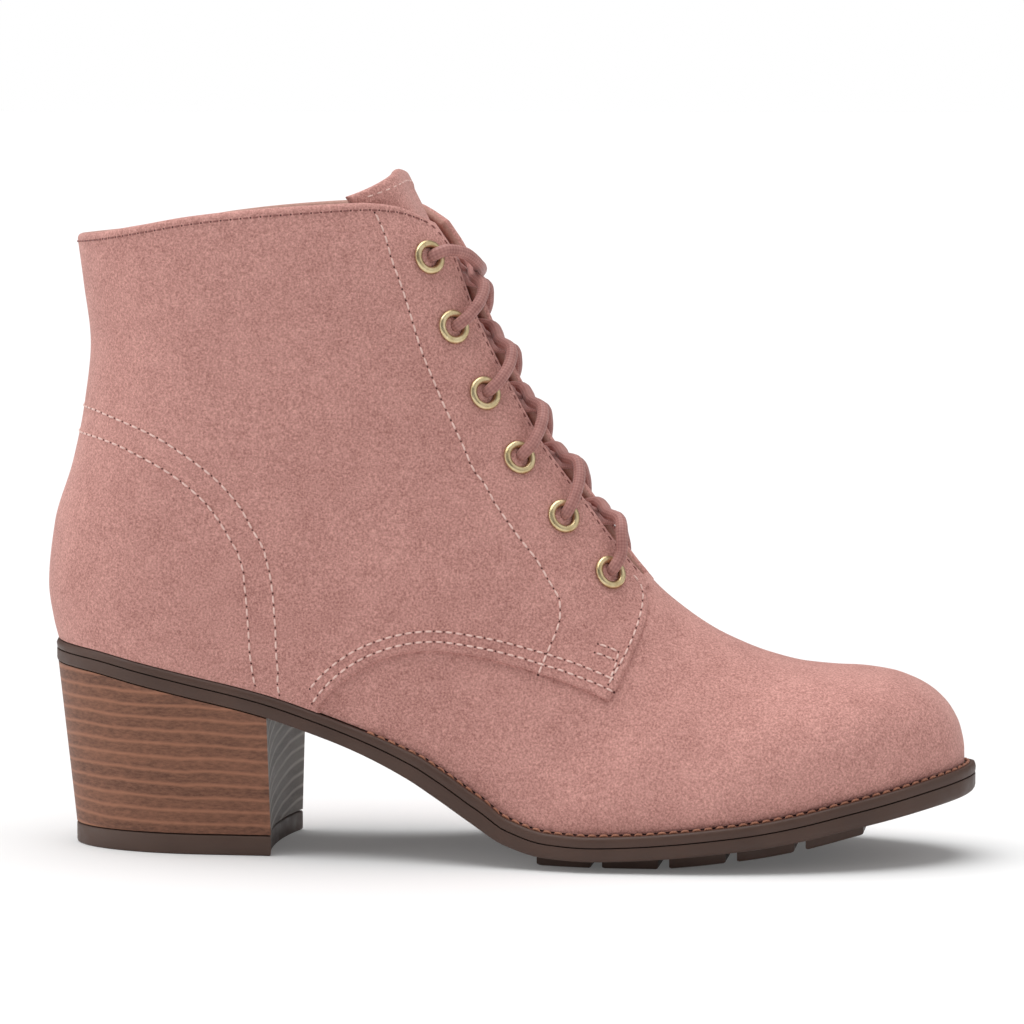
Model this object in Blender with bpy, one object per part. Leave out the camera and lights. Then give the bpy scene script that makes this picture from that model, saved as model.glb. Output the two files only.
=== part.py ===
"""Lace up ankle boot, right foot, standing empty on its heel and forefoot.

Metres, +Z up, +X towards the toe. The lateral side is at -Y and the medial side at +Y.
The origin is on the floor, midway along the boot. Tables hold shares of the named sizes.
"""

import bmesh
import bpy
import numpy as np

# Driving dimensions of the whole boot
LENGTH = 0.2555           # back of the counter to the tip of the welt
BALL_WIDTH = 0.0830       # vamp across the ball of the foot, at the sole
HEEL_HEIGHT = 0.0510      # floor to the underside of the outsole at the very back
TOE_SPRING = 0.0180       # floor to the underside of the outsole at the toe
COLLAR_BACK = 0.1683      # floor to the collar at the back
COLLAR_FRONT = 0.1770     # floor to the collar's highest stretch, near the throat
TOE_HEIGHT = 0.0516       # floor to the top of the toe box

# Gaps, walls and thicknesses
GAP = 0.0003              # between pieces that meet
WALL = 0.0019             # vamp leather with its lining
OVERLAY = 0.0011          # what the quarters add where they lie on the vamp
OUTSOLE_FORE = 0.0047     # outsole under the ball
OUTSOLE_HEEL = 0.0032     # outsole under the heel
WELT_FORE = 0.0028        # welt and midsole under the ball
WELT_HEEL = 0.0023        # welt and midsole under the heel
WELT_REACH_FORE = 0.0030  # how far the welt stands out from the vamp at the ball
WELT_REACH_HEEL = 0.0005  # how far it stands out from the quarters at the heel
EDGE_BEVEL = 0.0012       # chamfer along the lower edge of the outsole
CAMBER = 0.0010           # how far the forefoot's edge lies above its middle
INSOLE = 0.0022           # insole thickness

# Heel
HEEL_LENGTH = 0.0640      # back of the heel to its breast, at the top
HEEL_HOLLOW = 0.0025      # how far the breast is hollowed
HEEL_TAPER = 0.81         # width at the floor as a share of the width at the top
HEEL_LEAN = 0.925         # length at the floor as a share of the length at the top
TOP_PIECE = 0.0055        # rubber top piece under the heel

# Forefoot tread
TREAD_DEPTH = 0.0019      # how far the tread pads stand down from the outsole
TREAD_BACK = 0.0120       # where the first pad starts, ahead of the origin
TREAD_PITCH = 0.0180      # from one pad to the next
TREAD_GROOVE = 0.0030     # groove between two pads
TREAD_PADS = 5
TREAD_INSET = 0.0085      # from the outsole's edge to the ends of the pads
TREAD_FLAT = 0.0009       # height over which the pads are dressed flat on the floor

# Throat, tongue, eyelets and lace
THROAT_TOP = 0.0112       # half the gap between the facings at the collar
THROAT_LOW = 0.0086       # half the gap near the vamp
TONGUE = 0.0026           # tongue thickness
TONGUE_SEAT = 0.0011      # between the tongue and the facings over it
TONGUE_HALF = 0.0200      # half the tongue's width at the vamp
TONGUE_TOP_HALF = 0.0270  # half its width at the collar
TONGUE_RISE = 0.0300      # how far the tongue stands above the level of the collar at the back
TONGUE_CORNER = 0.0150    # how much lower its corners are than its middle
THROAT_SAG = 0.0024       # how far the tongue and the lace lie in between the facings
EYELETS = 6
EYELET_TOP = 0.0080       # first eyelet, below the level of the collar at the back
EYELET_PITCH = 0.0198     # along the facing
EYELET_INSET = 0.0083     # across, from the facing's front edge
EYELET_FLANGE = 0.0047    # outer radius of the flange
EYELET_BORE = 0.0026      # radius of the hole
EYELET_TUBE = 0.0005      # wall of the tube
EYELET_RIM = 0.0009       # flange thickness
EYELET_SEAT = 0.0004      # flange to facing
LACE_RADIUS = 0.00165
LACE_OVER = 0.0006        # how much higher one strand lies than the one that it crosses
LACE_START = 0.0056       # from the middle of an eyelet to the lace's first point

# How the forefoot gives way to the heel, as shares of the length
WAIST_BACK = 0.34
WAIST_FRONT = 0.46

# Rounding in plan and the fan of section planes
BACK_ROUND = 0.170        # share of the length over which the back is rounded
TOE_ROUND = 0.245         # share over which the toe is rounded
TOE_SWING = 0.0030        # how far the tip lies to the medial side
TUCK = 0.035              # how much the wall draws in at the sole
FAN_AHEAD = 0.591         # fan centre ahead of the origin, in lengths
FAN_HEIGHT = 0.966        # fan centre above the floor, in collar heights
THROAT_LAP = 1.420        # section at which the throat ends
MERGE = 1e-6

# Underside of the outsole: what each station takes of the heel height and of the toe spring
UNDERSIDE = [
    # along, heel share, spring share
    (0.000, 1.000, 0.00),
    (0.060, 0.973, 0.00),
    (0.120, 0.913, 0.00),
    (0.180, 0.846, 0.00),
    (0.250, 0.760, 0.00),
    (0.304, 0.670, 0.00),
    (0.353, 0.575, 0.00),
    (0.410, 0.424, 0.00),
    (0.440, 0.324, 0.00),
    (0.481, 0.183, 0.00),
    (0.515, 0.075, 0.00),
    (0.560, 0.012, 0.00),
    (0.605, 0.000, 0.00),
    (0.655, 0.000, 0.03),
    (0.700, 0.000, 0.09),
    (0.740, 0.000, 0.16),
    (0.784, 0.000, 0.25),
    (0.829, 0.000, 0.38),
    (0.873, 0.000, 0.54),
    (0.915, 0.000, 0.69),
    (0.960, 0.000, 0.86),
    (1.000, 0.000, 1.00),
]

# Back of the boot from the sole to above the collar: how far it lies in from its furthest point
BACK = [
    # height share, inset as a share of the length
    (0.000, 0.0105),
    (0.050, 0.0050),
    (0.135, 0.0000),
    (0.285, 0.0070),
    (0.436, 0.0274),
    (0.585, 0.0411),
    (0.734, 0.0481),
    (0.882, 0.0411),
    (1.000, 0.0345),
    (1.300, 0.0200),
]

# Top line from the toe to the tongue's height: back from the tip, up the toe, up to the collar
RIDGE = [
    # behind the tip, share of the toe's rise, share of the collar's rise
    (0.0000, 0.000, 0.000),
    (0.0003, 0.150, 0.000),
    (0.0045, 0.366, 0.000),
    (0.0155, 0.585, 0.000),
    (0.0366, 0.785, 0.000),
    (0.0578, 0.890, 0.000),
    (0.0793, 0.955, 0.000),
    (0.1216, 1.000, 0.000),
    (0.1642, 1.000, 0.006),
    (0.2069, 1.000, 0.026),
    (0.2496, 1.000, 0.061),
    (0.2926, 1.000, 0.115),
    (0.3353, 1.000, 0.190),
    (0.3629, 1.000, 0.281),
    (0.3855, 1.000, 0.346),
    (0.4104, 1.000, 0.411),
    (0.4337, 1.000, 0.475),
    (0.4791, 1.000, 0.639),
    (0.5092, 1.000, 0.769),
    (0.5319, 1.000, 0.899),
    (0.5429, 1.000, 0.933),
    (0.5546, 1.000, 0.967),
    (0.5687, 1.000, 1.023),
    (0.5852, 1.000, 1.088),
    (0.5981, 1.000, 1.143),
]

# Sections of the last: lap 0 is at the collar, 1 at the heel's corner and 2 at the toe
SECTIONS = [
    # lap, lateral half, medial half, front extent, fullness
    (-0.30, 0.410, 0.410, 0.50, 2.05),
    (0.000, 0.410, 0.410, 0.50, 2.05),
    (0.300, 0.388, 0.388, 0.46, 2.10),
    (0.500, 0.375, 0.375, 0.41, 2.10),
    (0.750, 0.366, 0.366, 0.36, 2.10),
    (0.950, 0.362, 0.362, 0.34, 2.05),
    (1.100, 0.362, 0.362, 0.37, 2.00),
    (1.260, 0.366, 0.358, 0.49, 1.95),
    (1.380, 0.384, 0.336, 0.64, 1.90),
    (1.500, 0.436, 0.398, 0.82, 1.90),
    (1.620, 0.502, 0.470, 0.96, 1.95),
    (1.700, 0.502, 0.498, 1.00, 2.05),
    (1.800, 0.478, 0.470, 1.00, 2.25),
    (1.880, 0.465, 0.430, 1.00, 2.35),
    (2.000, 0.450, 0.410, 1.00, 2.20),
]

# Collar line, from the throat round to the back
COLLAR = [
    # share round the section, share of the collar's extra height
    (0.000, 0.05),
    (0.030, 0.30),
    (0.060, 0.62),
    (0.095, 0.82),
    (0.170, 0.93),
    (0.326, 0.87),
    (0.480, 0.76),
    (0.636, 0.58),
    (0.790, 0.30),
    (0.915, 0.09),
    (1.000, 0.00),
]
COLLAR_FADE = 0.5

# Edge of the quarters on the vamp, seen from the side, from the throat down and back to the sole
QUARTER_EDGE = [
    # along, height as a share of the collar's
    (0.668, 0.460),
    (0.652, 0.412),
    (0.656, 0.388),
    (0.653, 0.351),
    (0.639, 0.297),
    (0.624, 0.252),
    (0.584, 0.277),
    (0.544, 0.296),
    (0.505, 0.312),
    (0.464, 0.323),
    (0.435, 0.326),
    (0.405, 0.320),
    (0.374, 0.305),
    (0.350, 0.285),
    (0.330, 0.260),
    (0.316, 0.234),
    (0.310, 0.200),
]

SUEDE = ("suede", (0.498, 0.253, 0.216), 0.92, 0.0)
RUBBER = ("sole_rubber", (0.124, 0.074, 0.061), 0.55, 0.0)
WOOD = ("stacked_heel", (0.209, 0.093, 0.060), 0.60, 0.0)
LINING = ("insole_leather", (0.550, 0.330, 0.270), 0.75, 0.0)
BRASS = ("eyelet_brass", (0.380, 0.230, 0.110), 0.40, 1.0)
CORD = ("lace_cord", (0.430, 0.190, 0.165), 0.70, 0.0)


def smooth(rows, column, at):
    """Cubic through a table's rows that never swings past the rows' own values."""
    x = np.array([row[0] for row in rows], float)
    y = np.array([row[column] for row in rows], float)
    step = np.diff(x)
    slope = np.diff(y) / step
    turn = np.zeros_like(y)
    turn[0], turn[-1] = slope[0], slope[-1]
    before, after = slope[:-1], slope[1:]
    same = before * after > 0
    weight_a = 2 * step[1:] + step[:-1]
    weight_b = step[1:] + 2 * step[:-1]
    inner = np.zeros_like(before)
    inner[same] = (weight_a + weight_b)[same] / (weight_a[same] / before[same] + weight_b[same] / after[same])
    turn[1:-1] = inner
    at = np.clip(np.asarray(at, float), x[0], x[-1])
    i = np.clip(np.searchsorted(x, at, "right") - 1, 0, len(step) - 1)
    t = (at - x[i]) / step[i]
    return ((1 + 2 * t) * (1 - t) ** 2 * y[i] + t * (1 - t) ** 2 * step[i] * turn[i]
            + t * t * (3 - 2 * t) * y[i + 1] - t * t * (1 - t) * step[i] * turn[i + 1])


def rounded(share, power):
    """0 to 1 along a quarter of a superellipse, and 1 beyond it."""
    share = np.clip(share, 0, 1)
    return (1 - (1 - share) ** power) ** (1 / power)


def along(x):
    return x / LENGTH + 0.5


def forefoot(x):
    """0 in the heel and 1 in the forefoot, easing through the waist."""
    t = np.clip((along(x) - WAIST_BACK) / (WAIST_FRONT - WAIST_BACK), 0, 1)
    return t * t * (3 - 2 * t)


def between(heel, fore, x):
    return heel + (fore - heel) * forefoot(x)


def underside(x):
    share = along(x)
    rise = (HEEL_HEIGHT - TREAD_DEPTH) * smooth(UNDERSIDE, 1, share)
    return TREAD_DEPTH + rise + (TOE_SPRING - TREAD_DEPTH) * smooth(UNDERSIDE, 2, share)


def slant(x):
    """What a thickness measured across the sole grows by when it is measured upright."""
    step = LENGTH / 1000
    slope = (underside(x + step) - underside(x - step)) / (2 * step)
    return np.sqrt(1 + slope * slope)


def outsole_top(x):
    return underside(x) + between(OUTSOLE_HEEL, OUTSOLE_FORE, x) * slant(x)


def welt_low(x):
    return outsole_top(x) + GAP * slant(x)


def welt_top(x):
    return welt_low(x) + between(WELT_HEEL, WELT_FORE, x) * slant(x)


def seat(x):
    """Where the upper and the insole stand, just clear of the welt."""
    return welt_top(x) + GAP * slant(x)


# Places that follow from the sizes
BACK_END = -LENGTH / 2 + OVERLAY
UPPER_TIP = LENGTH / 2 - WELT_REACH_FORE
HEEL_CORNER = BACK_END + BACK[0][1] * LENGTH
HEEL_SEAT = float(seat(HEEL_CORNER))
TIP_SEAT = float(seat(UPPER_TIP))
FAN_X = FAN_AHEAD * LENGTH
FAN_Z = FAN_HEIGHT * COLLAR_FRONT
HEEL_BACK = HEEL_CORNER - OVERLAY - WELT_REACH_HEEL
BREAST = HEEL_BACK + HEEL_LENGTH


def back_x(z):
    height = (z - HEEL_SEAT) / (COLLAR_BACK - HEEL_SEAT)
    return BACK_END + LENGTH * smooth(BACK, 1, height)


def ridge_curve():
    """The top line as a dense run of points, with the angle of each about the fan's centre."""
    rows = [(index,) + row for index, row in enumerate(RIDGE)]
    at = np.linspace(0, len(RIDGE) - 1, 600)
    x = UPPER_TIP - LENGTH * smooth(rows, 1, at)
    z = TIP_SEAT + (TOE_HEIGHT - TIP_SEAT) * smooth(rows, 2, at)
    z = z + (COLLAR_FRONT - TOE_HEIGHT) * smooth(rows, 3, at)
    return x, z, np.arctan2(FAN_Z - z, FAN_X - x)


RIDGE_X, RIDGE_Z, RIDGE_ANGLE = ridge_curve()


def exit_point(lap):
    """Where a section leaves the boot: down the back up to lap 1, then along the sole's seam."""
    lap = np.asarray(lap, float)
    z_back = HEEL_SEAT + (1 - np.minimum(lap, 1)) * (COLLAR_BACK - HEEL_SEAT)
    x_foot = HEEL_CORNER + (UPPER_TIP - HEEL_CORNER) * np.clip(lap - 1, 0, 1)
    x = np.where(lap <= 1, back_x(z_back), x_foot)
    z = np.where(lap <= 1, z_back, seat(x_foot))
    return x, z


def surface(lap, share, side):
    """A point of the vamp-level surface, on the section lap, share of the way from ridge to exit."""
    lap, share, side = np.broadcast_arrays(np.asarray(lap, float), np.asarray(share, float), side)
    exit_x, exit_z = exit_point(lap)
    angle = np.arctan2(FAN_Z - exit_z, FAN_X - exit_x)
    ridge_x = np.interp(angle, RIDGE_ANGLE[::-1], RIDGE_X[::-1])
    ridge_z = np.interp(angle, RIDGE_ANGLE[::-1], RIDGE_Z[::-1])
    x = ridge_x + (exit_x - ridge_x) * share
    z = ridge_z + (exit_z - ridge_z) * share
    half = BALL_WIDTH * np.where(side < 0, smooth(SECTIONS, 1, lap), smooth(SECTIONS, 2, lap))
    half = half * rounded(share / smooth(SECTIONS, 3, lap), smooth(SECTIONS, 4, lap))
    half = half * rounded((x - back_x(z)) / (BACK_ROUND * LENGTH), 2)
    half = half * rounded((UPPER_TIP - exit_x) / (TOE_ROUND * LENGTH), 2)
    half = half * (1 - TUCK * np.clip((share - 0.8) / 0.2, 0, 1) ** 2 * np.clip(lap - 1, 0, 0.2) / 0.2)
    swing = TOE_SWING * np.clip(2 * x / LENGTH, 0, 1) ** 2
    return np.stack([x, swing + side * half, z], -1)


def throat_half(lap):
    """Half the gap between the facings, narrowing from the collar to the vamp."""
    share = np.clip(lap / THROAT_LAP, 0, 1)
    return THROAT_TOP + (THROAT_LOW - THROAT_TOP) * share - 0.35 * THROAT_LOW * np.clip(share * 12 - 11, 0, 1) ** 2


SHARES = np.linspace(0, 1, 400) ** 2


def share_at(lap, out, side):
    """How far round the section lap the surface lies out from the middle plane by the length out."""
    y = np.abs(surface(lap, SHARES, side)[:, 1] - surface(lap, 0.0, side)[..., 1])
    top = int(np.argmax(y))
    return float(np.interp(out, y[:top + 1], SHARES[:top + 1]))


def throat_sag(lap, y):
    """How far what lies in the throat is drawn in below the surface between the facings."""
    return THROAT_SAG * np.clip(1 - (y / (1.5 * throat_half(lap))) ** 2, 0, 1) ** 2


def lace_sag(lap, y):
    """How far a lace is drawn in between the facings, with nothing where it lies over them."""
    return THROAT_SAG * np.clip(1 - (y / throat_half(lap)) ** 2, 0, 1)


def on_surface(lap, y, lift):
    """Points over the surface at the section lap, y across and lift out along the normal."""
    side = -1.0 if y < 0 else 1.0
    out = abs(y)
    point = surface(lap, share_at(lap, out, side), side)
    step = 0.0008
    nudge = 0.006
    across = (surface(lap, share_at(lap, out + step, side), side)
              - surface(lap, share_at(lap, max(out - step, 0.0), side), side)) * side
    if out < step:
        across = np.array([0.0, 1.0, 0.0])
    down = (surface(lap + nudge, share_at(lap + nudge, out, side), side)
            - surface(lap - nudge, share_at(lap - nudge, out, side), side))
    normal = np.cross(down, across)
    normal = normal / np.linalg.norm(normal)
    return point + normal * lift, normal


def material(finish):
    name, colour, roughness, metallic = finish
    made = bpy.data.materials.get(name) or bpy.data.materials.new(name)
    made.use_nodes = True
    shader = made.node_tree.nodes["Principled BSDF"]
    shader.inputs["Base Color"].default_value = (*colour, 1.0)
    shader.inputs["Roughness"].default_value = roughness
    shader.inputs["Metallic"].default_value = metallic
    return made


def add(name, points, faces, finish=None):
    """A named object from points and faces, with doubles merged and its faces turned outwards."""
    mesh = bpy.data.meshes.new(name)
    mesh.from_pydata([tuple(point) for point in points], [], [tuple(face) for face in faces])
    work = bmesh.new()
    work.from_mesh(mesh)
    bmesh.ops.remove_doubles(work, verts=work.verts, dist=MERGE)
    loose = [corner for corner in work.verts if not corner.link_faces]
    bmesh.ops.delete(work, geom=loose, context="VERTS")
    bmesh.ops.recalc_face_normals(work, faces=work.faces)
    work.to_mesh(mesh)
    work.free()
    piece = bpy.data.objects.new(name, mesh)
    bpy.context.collection.objects.link(piece)
    if finish:
        mesh.materials.append(material(finish))
        mesh.shade_smooth()
        mesh.set_sharp_from_angle(angle=np.radians(35))
    return piece


def cutter(name, points, faces):
    piece = add(name, points, faces)
    piece.hide_render = True
    piece.display_type = "WIRE"
    return piece


def boolean(piece, tool, operation):
    step = piece.modifiers.new(tool.name, "BOOLEAN")
    step.operation = operation
    step.solver = "EXACT"
    step.object = tool


def quads(rows, columns, first=0):
    """The faces of a grid of points, row after row."""
    i, j = np.meshgrid(np.arange(rows - 1), np.arange(columns - 1), indexing="ij")
    a = (first + i * columns + j).ravel()
    return np.stack([a, a + 1, a + columns + 1, a + columns], 1)


def slab(name, layers, finish=None, make=add):
    """A closed solid from grids laid one over another: the first and last filled, edges joined."""
    rows, columns = layers[0].shape[:2]
    count = rows * columns
    points = np.concatenate([layer.reshape(-1, 3) for layer in layers])
    index = np.arange(count).reshape(rows, columns)
    rim = np.concatenate([index[0, :-1], index[:-1, -1], index[-1, :0:-1], index[:0:-1, 0]])
    faces = [quads(rows, columns)[:, ::-1], quads(rows, columns, count * (len(layers) - 1))]
    for level in range(len(layers) - 1):
        low = rim + count * level
        high = low + count
        faces.append(np.stack([low, np.roll(low, -1), np.roll(high, -1), high], 1))
    faces = np.concatenate(faces)
    if make is cutter:
        return cutter(name, points, faces)
    return add(name, points, faces, finish)


def sole_edges(margin, stations):
    """The upper's outline on the sole, moved out by margin: lateral and medial edges as x and y."""
    lap = 1 + (1 - np.cos(np.pi * np.arange(stations + 1) / stations)) / 2
    lateral = surface(lap, 1.0, -1)[:, :2]
    medial = surface(lap, 1.0, 1)[:, :2]
    loop = np.concatenate([lateral, medial[-2:0:-1]])
    run = np.roll(loop, -1, 0) - np.roll(loop, 1, 0)
    outward = np.stack([run[:, 1], -run[:, 0]], 1) / np.linalg.norm(run, axis=1)[:, None]
    loop = loop + outward * margin(loop[:, 0])[:, None]
    lateral = loop[:stations + 1]
    medial = np.concatenate([loop[:1], loop[:stations - 1:-1]])
    return lateral, medial


def sole_grid(margin, height, stations=38, columns=4):
    """A sole-shaped grid: columns from the lateral edge to the medial one, raised to height(x, y)."""
    lateral, medial = sole_edges(margin, stations)
    share = np.linspace(0, 1, columns + 1)[None, :, None]
    grid = lateral[:, None] + (medial - lateral)[:, None] * share
    z = height(grid[..., 0], grid[..., 1])
    return np.concatenate([grid, z[..., None]], -1)


def welt_margin(x):
    return between(OVERLAY + WELT_REACH_HEEL, WELT_REACH_FORE, x)


def bevel(x):
    return between(GAP, EDGE_BEVEL, x)


def low_margin(x):
    return welt_margin(x) - bevel(x)


def outsole_low(x, y):
    """Underside of the outsole, its edge above its middle in the forefoot."""
    return underside(x) + CAMBER * forefoot(x) * (2 * y / BALL_WIDTH) ** 2


def tread_low(x):
    """Underside of the tread pads, dressed flat where they meet the floor."""
    return np.maximum(underside(x) - TREAD_DEPTH - TREAD_FLAT, 0)


def outsole():
    """Outsole with its arch, toe spring, bevelled edge and the pads of its forefoot tread."""
    body = slab("outsole", [
        sole_grid(low_margin, outsole_low),
        sole_grid(welt_margin, lambda x, y: outsole_low(x, y) + bevel(x)),
        sole_grid(welt_margin, lambda x, y: outsole_top(x)),
    ], RUBBER)
    lateral, medial = sole_edges(lambda x: low_margin(x) - TREAD_INSET, 120)
    for number in range(TREAD_PADS):
        start = TREAD_BACK + number * TREAD_PITCH
        x = np.linspace(start, start + TREAD_PITCH - TREAD_GROOVE, 4)
        near = np.interp(x, lateral[:, 0], lateral[:, 1])
        far = np.interp(x, medial[:, 0], medial[:, 1])
        y = near[:, None] + (far - near)[:, None] * np.linspace(0, 1, 3)
        grid = np.broadcast_to(x[:, None], y.shape)
        low = np.stack([grid, y, tread_low(grid)], -1)
        high = np.stack([grid, y, underside(grid) + OUTSOLE_FORE / 2], -1)
        boolean(body, slab(f"tread_pad_{number + 1}", [low, high], make=cutter), "UNION")
    return body


def welt():
    """Welt and midsole in one plate, standing out all round the upper."""
    return slab("welt", [
        sole_grid(welt_margin, lambda x, y: welt_low(x)),
        sole_grid(welt_margin, lambda x, y: welt_top(x)),
    ], RUBBER)


def insole():
    """Insole inside the upper's wall, on the welt plate."""
    def margin(x):
        return -(WALL + 3 * GAP) * np.ones_like(x)
    return slab("insole", [
        sole_grid(margin, lambda x, y: seat(x)),
        sole_grid(margin, lambda x, y: seat(x) + INSOLE * slant(x)),
    ], LINING)


def heel_grid(level, height):
    """The heel's plan at a level from 0, at the floor, to 1, under the outsole."""
    lateral, medial = sole_edges(low_margin, 160)
    x = HEEL_BACK + (BREAST - HEEL_BACK) * (1 - np.cos(np.pi / 2 * np.arange(13) / 12))
    near = np.interp(x, lateral[:81, 0], lateral[:81, 1])
    far = np.interp(x, medial[:81, 0], medial[:81, 1])
    near[0] = far[0] = (near[0] + far[0]) / 2
    share = np.linspace(0, 1, 7)
    across = 2 * share - 1
    hollow = HEEL_HOLLOW * (1 - across ** 2) / HEEL_LENGTH
    width = HEEL_TAPER + (1 - HEEL_TAPER) * level
    lean = HEEL_LEAN + (1 - HEEL_LEAN) * level
    grid_x = BREAST + (x[:, None] - BREAST) * lean - hollow * (x[:, None] - HEEL_BACK)
    grid_y = (near[:, None] + (far - near)[:, None] * share) * width
    return np.stack([grid_x, grid_y, height(grid_x)], -1)


def heel_stack():
    """Block heel, tapering to the floor, its top following the outsole."""
    low = TOP_PIECE + GAP
    layers = []
    for level in np.linspace(0, 1, 3):
        layers.append(heel_grid(level, lambda x: low + (underside(x) - GAP - low) * level))
    return slab("heel_stack", layers, WOOD)


def top_piece():
    """Rubber top piece under the heel, flat on the floor."""
    return slab("top_piece", [
        heel_grid(0.0, lambda x: np.zeros_like(x)),
        heel_grid(0.0, lambda x: np.full_like(x, TOP_PIECE)),
    ], RUBBER)


def upper_grid():
    """The vamp-level surface on a grid, its collar row bent to the collar line.

    Returns the points, which rows lie on the sole's seam, and which cells the throat leaves open.
    """
    shaft = np.linspace(0, 1, 12)[:-1]
    quarter = 1 + (THROAT_LAP - 1) * (1 - np.cos(np.pi / 2 * np.arange(11) / 10))
    vamp = 2 - (2 - THROAT_LAP) * (1 - np.arange(1, 16) / 15) ** 1.6
    laps = np.concatenate([shaft, quarter, vamp])
    inner = np.linspace(0, 1, 3) ** 1.6
    outer = (1 - np.cos(np.pi * np.arange(1, 13) / 12)) / 2
    fade = np.clip(1 - laps / COLLAR_FADE, 0, 1) ** 2
    extra = (COLLAR_FRONT - COLLAR_BACK) / (COLLAR_BACK - HEEL_SEAT)
    sides = []
    for side in (-1, 1):
        rows = []
        for lap, weight in zip(laps, fade):
            edge = min(share_at(lap, throat_half(lap), side), 0.2)
            share = np.concatenate([edge * inner, edge + (1 - edge) * outer])
            rise = smooth(COLLAR, 1, share) * extra / (0.61 + 0.39 * share)
            rows.append(surface(lap - rise * weight, share, side))
        sides.append(np.array(rows))
    grid = np.concatenate([sides[0][:, ::-1], sides[1][:, 1:]], 1)
    half = grid.shape[1] // 2
    open_rows = len(shaft) + len(quarter) - 1
    kept = np.ones((len(laps) - 1, grid.shape[1] - 1), bool)
    kept[:open_rows, half - len(inner) + 1:half + len(inner) - 1] = False
    return grid, laps >= 1 - MERGE, kept


def shell(grid, on_seam, kept, outside, inside, below=0.0):
    """Points and faces of the wall between two offsets of the grid, closed along every edge."""
    rows, columns = grid.shape[:2]
    flat = grid.reshape(-1, 3)
    unique, same = np.unique(np.round(flat, 7), axis=0, return_inverse=True)
    same = same.ravel()
    faces = same[quads(rows, columns)]
    normals = np.zeros_like(unique)
    diagonal = np.cross(unique[faces[:, 2]] - unique[faces[:, 0]], unique[faces[:, 3]] - unique[faces[:, 1]])
    for corner in range(4):
        np.add.at(normals, faces[:, corner], diagonal)
    normals /= np.linalg.norm(normals, axis=1)[:, None] + 1e-12
    if normals[np.argmax(unique[:, 0])][0] < 0:
        normals = -normals
        faces = faces[:, ::-1]
    place = np.zeros((len(unique), 3))
    place[same] = flat
    foot = np.zeros(grid.shape[:2], bool)
    foot[on_seam, 0] = foot[on_seam, -1] = True
    seam = np.zeros(len(unique), bool)
    seam[same[foot.ravel()]] = True
    skins = []
    for offset in (outside, inside):
        skin = place + normals * offset
        skin[seam, 2] = seat(skin[seam, 0]) - below
        skins.append(skin)
    clean = []
    for face in faces[kept.ravel()]:
        ring = [int(vertex) for place_in, vertex in enumerate(face) if vertex != face[place_in - 1]]
        if len(set(ring)) > 2:
            clean.append(ring)
    edges = {(ring[k - 1], ring[k]) for ring in clean for k in range(len(ring))}
    count = len(unique)
    solid = [ring for ring in clean]
    solid += [[vertex + count for vertex in ring[::-1]] for ring in clean]
    solid += [[b, a, a + count, b + count] for a, b in edges if (b, a) not in edges]
    return np.concatenate(skins), solid


def prism(outline, half):
    """Points and faces of a side outline carried straight across the boot."""
    count = len(outline)
    points = [(x, -half, z) for x, z in outline] + [(x, half, z) for x, z in outline]
    faces = [list(range(count)), list(range(2 * count - 1, count - 1, -1))]
    faces += [[k, (k + 1) % count, count + (k + 1) % count, count + k] for k in range(count)]
    return points, faces


def eyelet_places():
    """Lap and distance from the middle plane of each eyelet, evenly spaced down the facing."""
    laps = np.linspace(0, THROAT_LAP, 60)
    out = throat_half(laps) + EYELET_INSET
    points = np.array([surface(lap, share_at(lap, y, -1), -1) for lap, y in zip(laps, out)])
    run = np.concatenate([[0], np.cumsum(np.linalg.norm(np.diff(points, axis=0), axis=1))])
    at = EYELET_TOP + EYELET_PITCH * np.arange(EYELETS)
    return [(float(np.interp(a, run, laps)), float(np.interp(a, run, out))) for a in at]


def turned(profile, centre, axis, segments=11):
    """A ring of points round an axis for each row of an even profile, closed by triangles.

    Every second ring is turned by half a step.
    """
    side = np.cross(axis, [0.0, 0.0, 1.0])
    side = side / np.linalg.norm(side)
    other = np.cross(axis, side)
    rings = []
    for row, (radius, height) in enumerate(profile):
        turn = 2 * np.pi * (np.arange(segments) + 0.5 * (row % 2)) / segments
        around = np.cos(turn)[:, None] * side + np.sin(turn)[:, None] * other
        rings.append(centre + axis * height + radius * around)
    count = len(profile)
    faces = []
    for k in range(count):
        first = k * segments
        above = (k + 1) % count * segments
        for n in range(segments):
            after = (n + 1) % segments
            near, far = (n, after) if k % 2 == 0 else (after, n)
            faces.append([first + n, first + after, above + near])
            faces.append([above + n, above + after, first + far])
    return np.concatenate(rings), faces


def eyelet(name, lap, y):
    """Brass eyelet: a rounded flange on the facing and a tube through it."""
    seat_height = OVERLAY + EYELET_SEAT
    centre, axis = on_surface(lap, y, seat_height)
    tube = EYELET_BORE + EYELET_TUBE
    low = -seat_height - WALL * 0.9
    profile = [
        (EYELET_BORE, low + EYELET_TUBE / 2),
        (tube, low),
        (tube, EYELET_RIM / 4),
        (EYELET_FLANGE, 0.0),
        (EYELET_FLANGE - EYELET_RIM, EYELET_RIM),
        (EYELET_BORE, EYELET_RIM / 2),
    ]
    return add(name, *turned(profile, centre, axis), BRASS)


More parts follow.
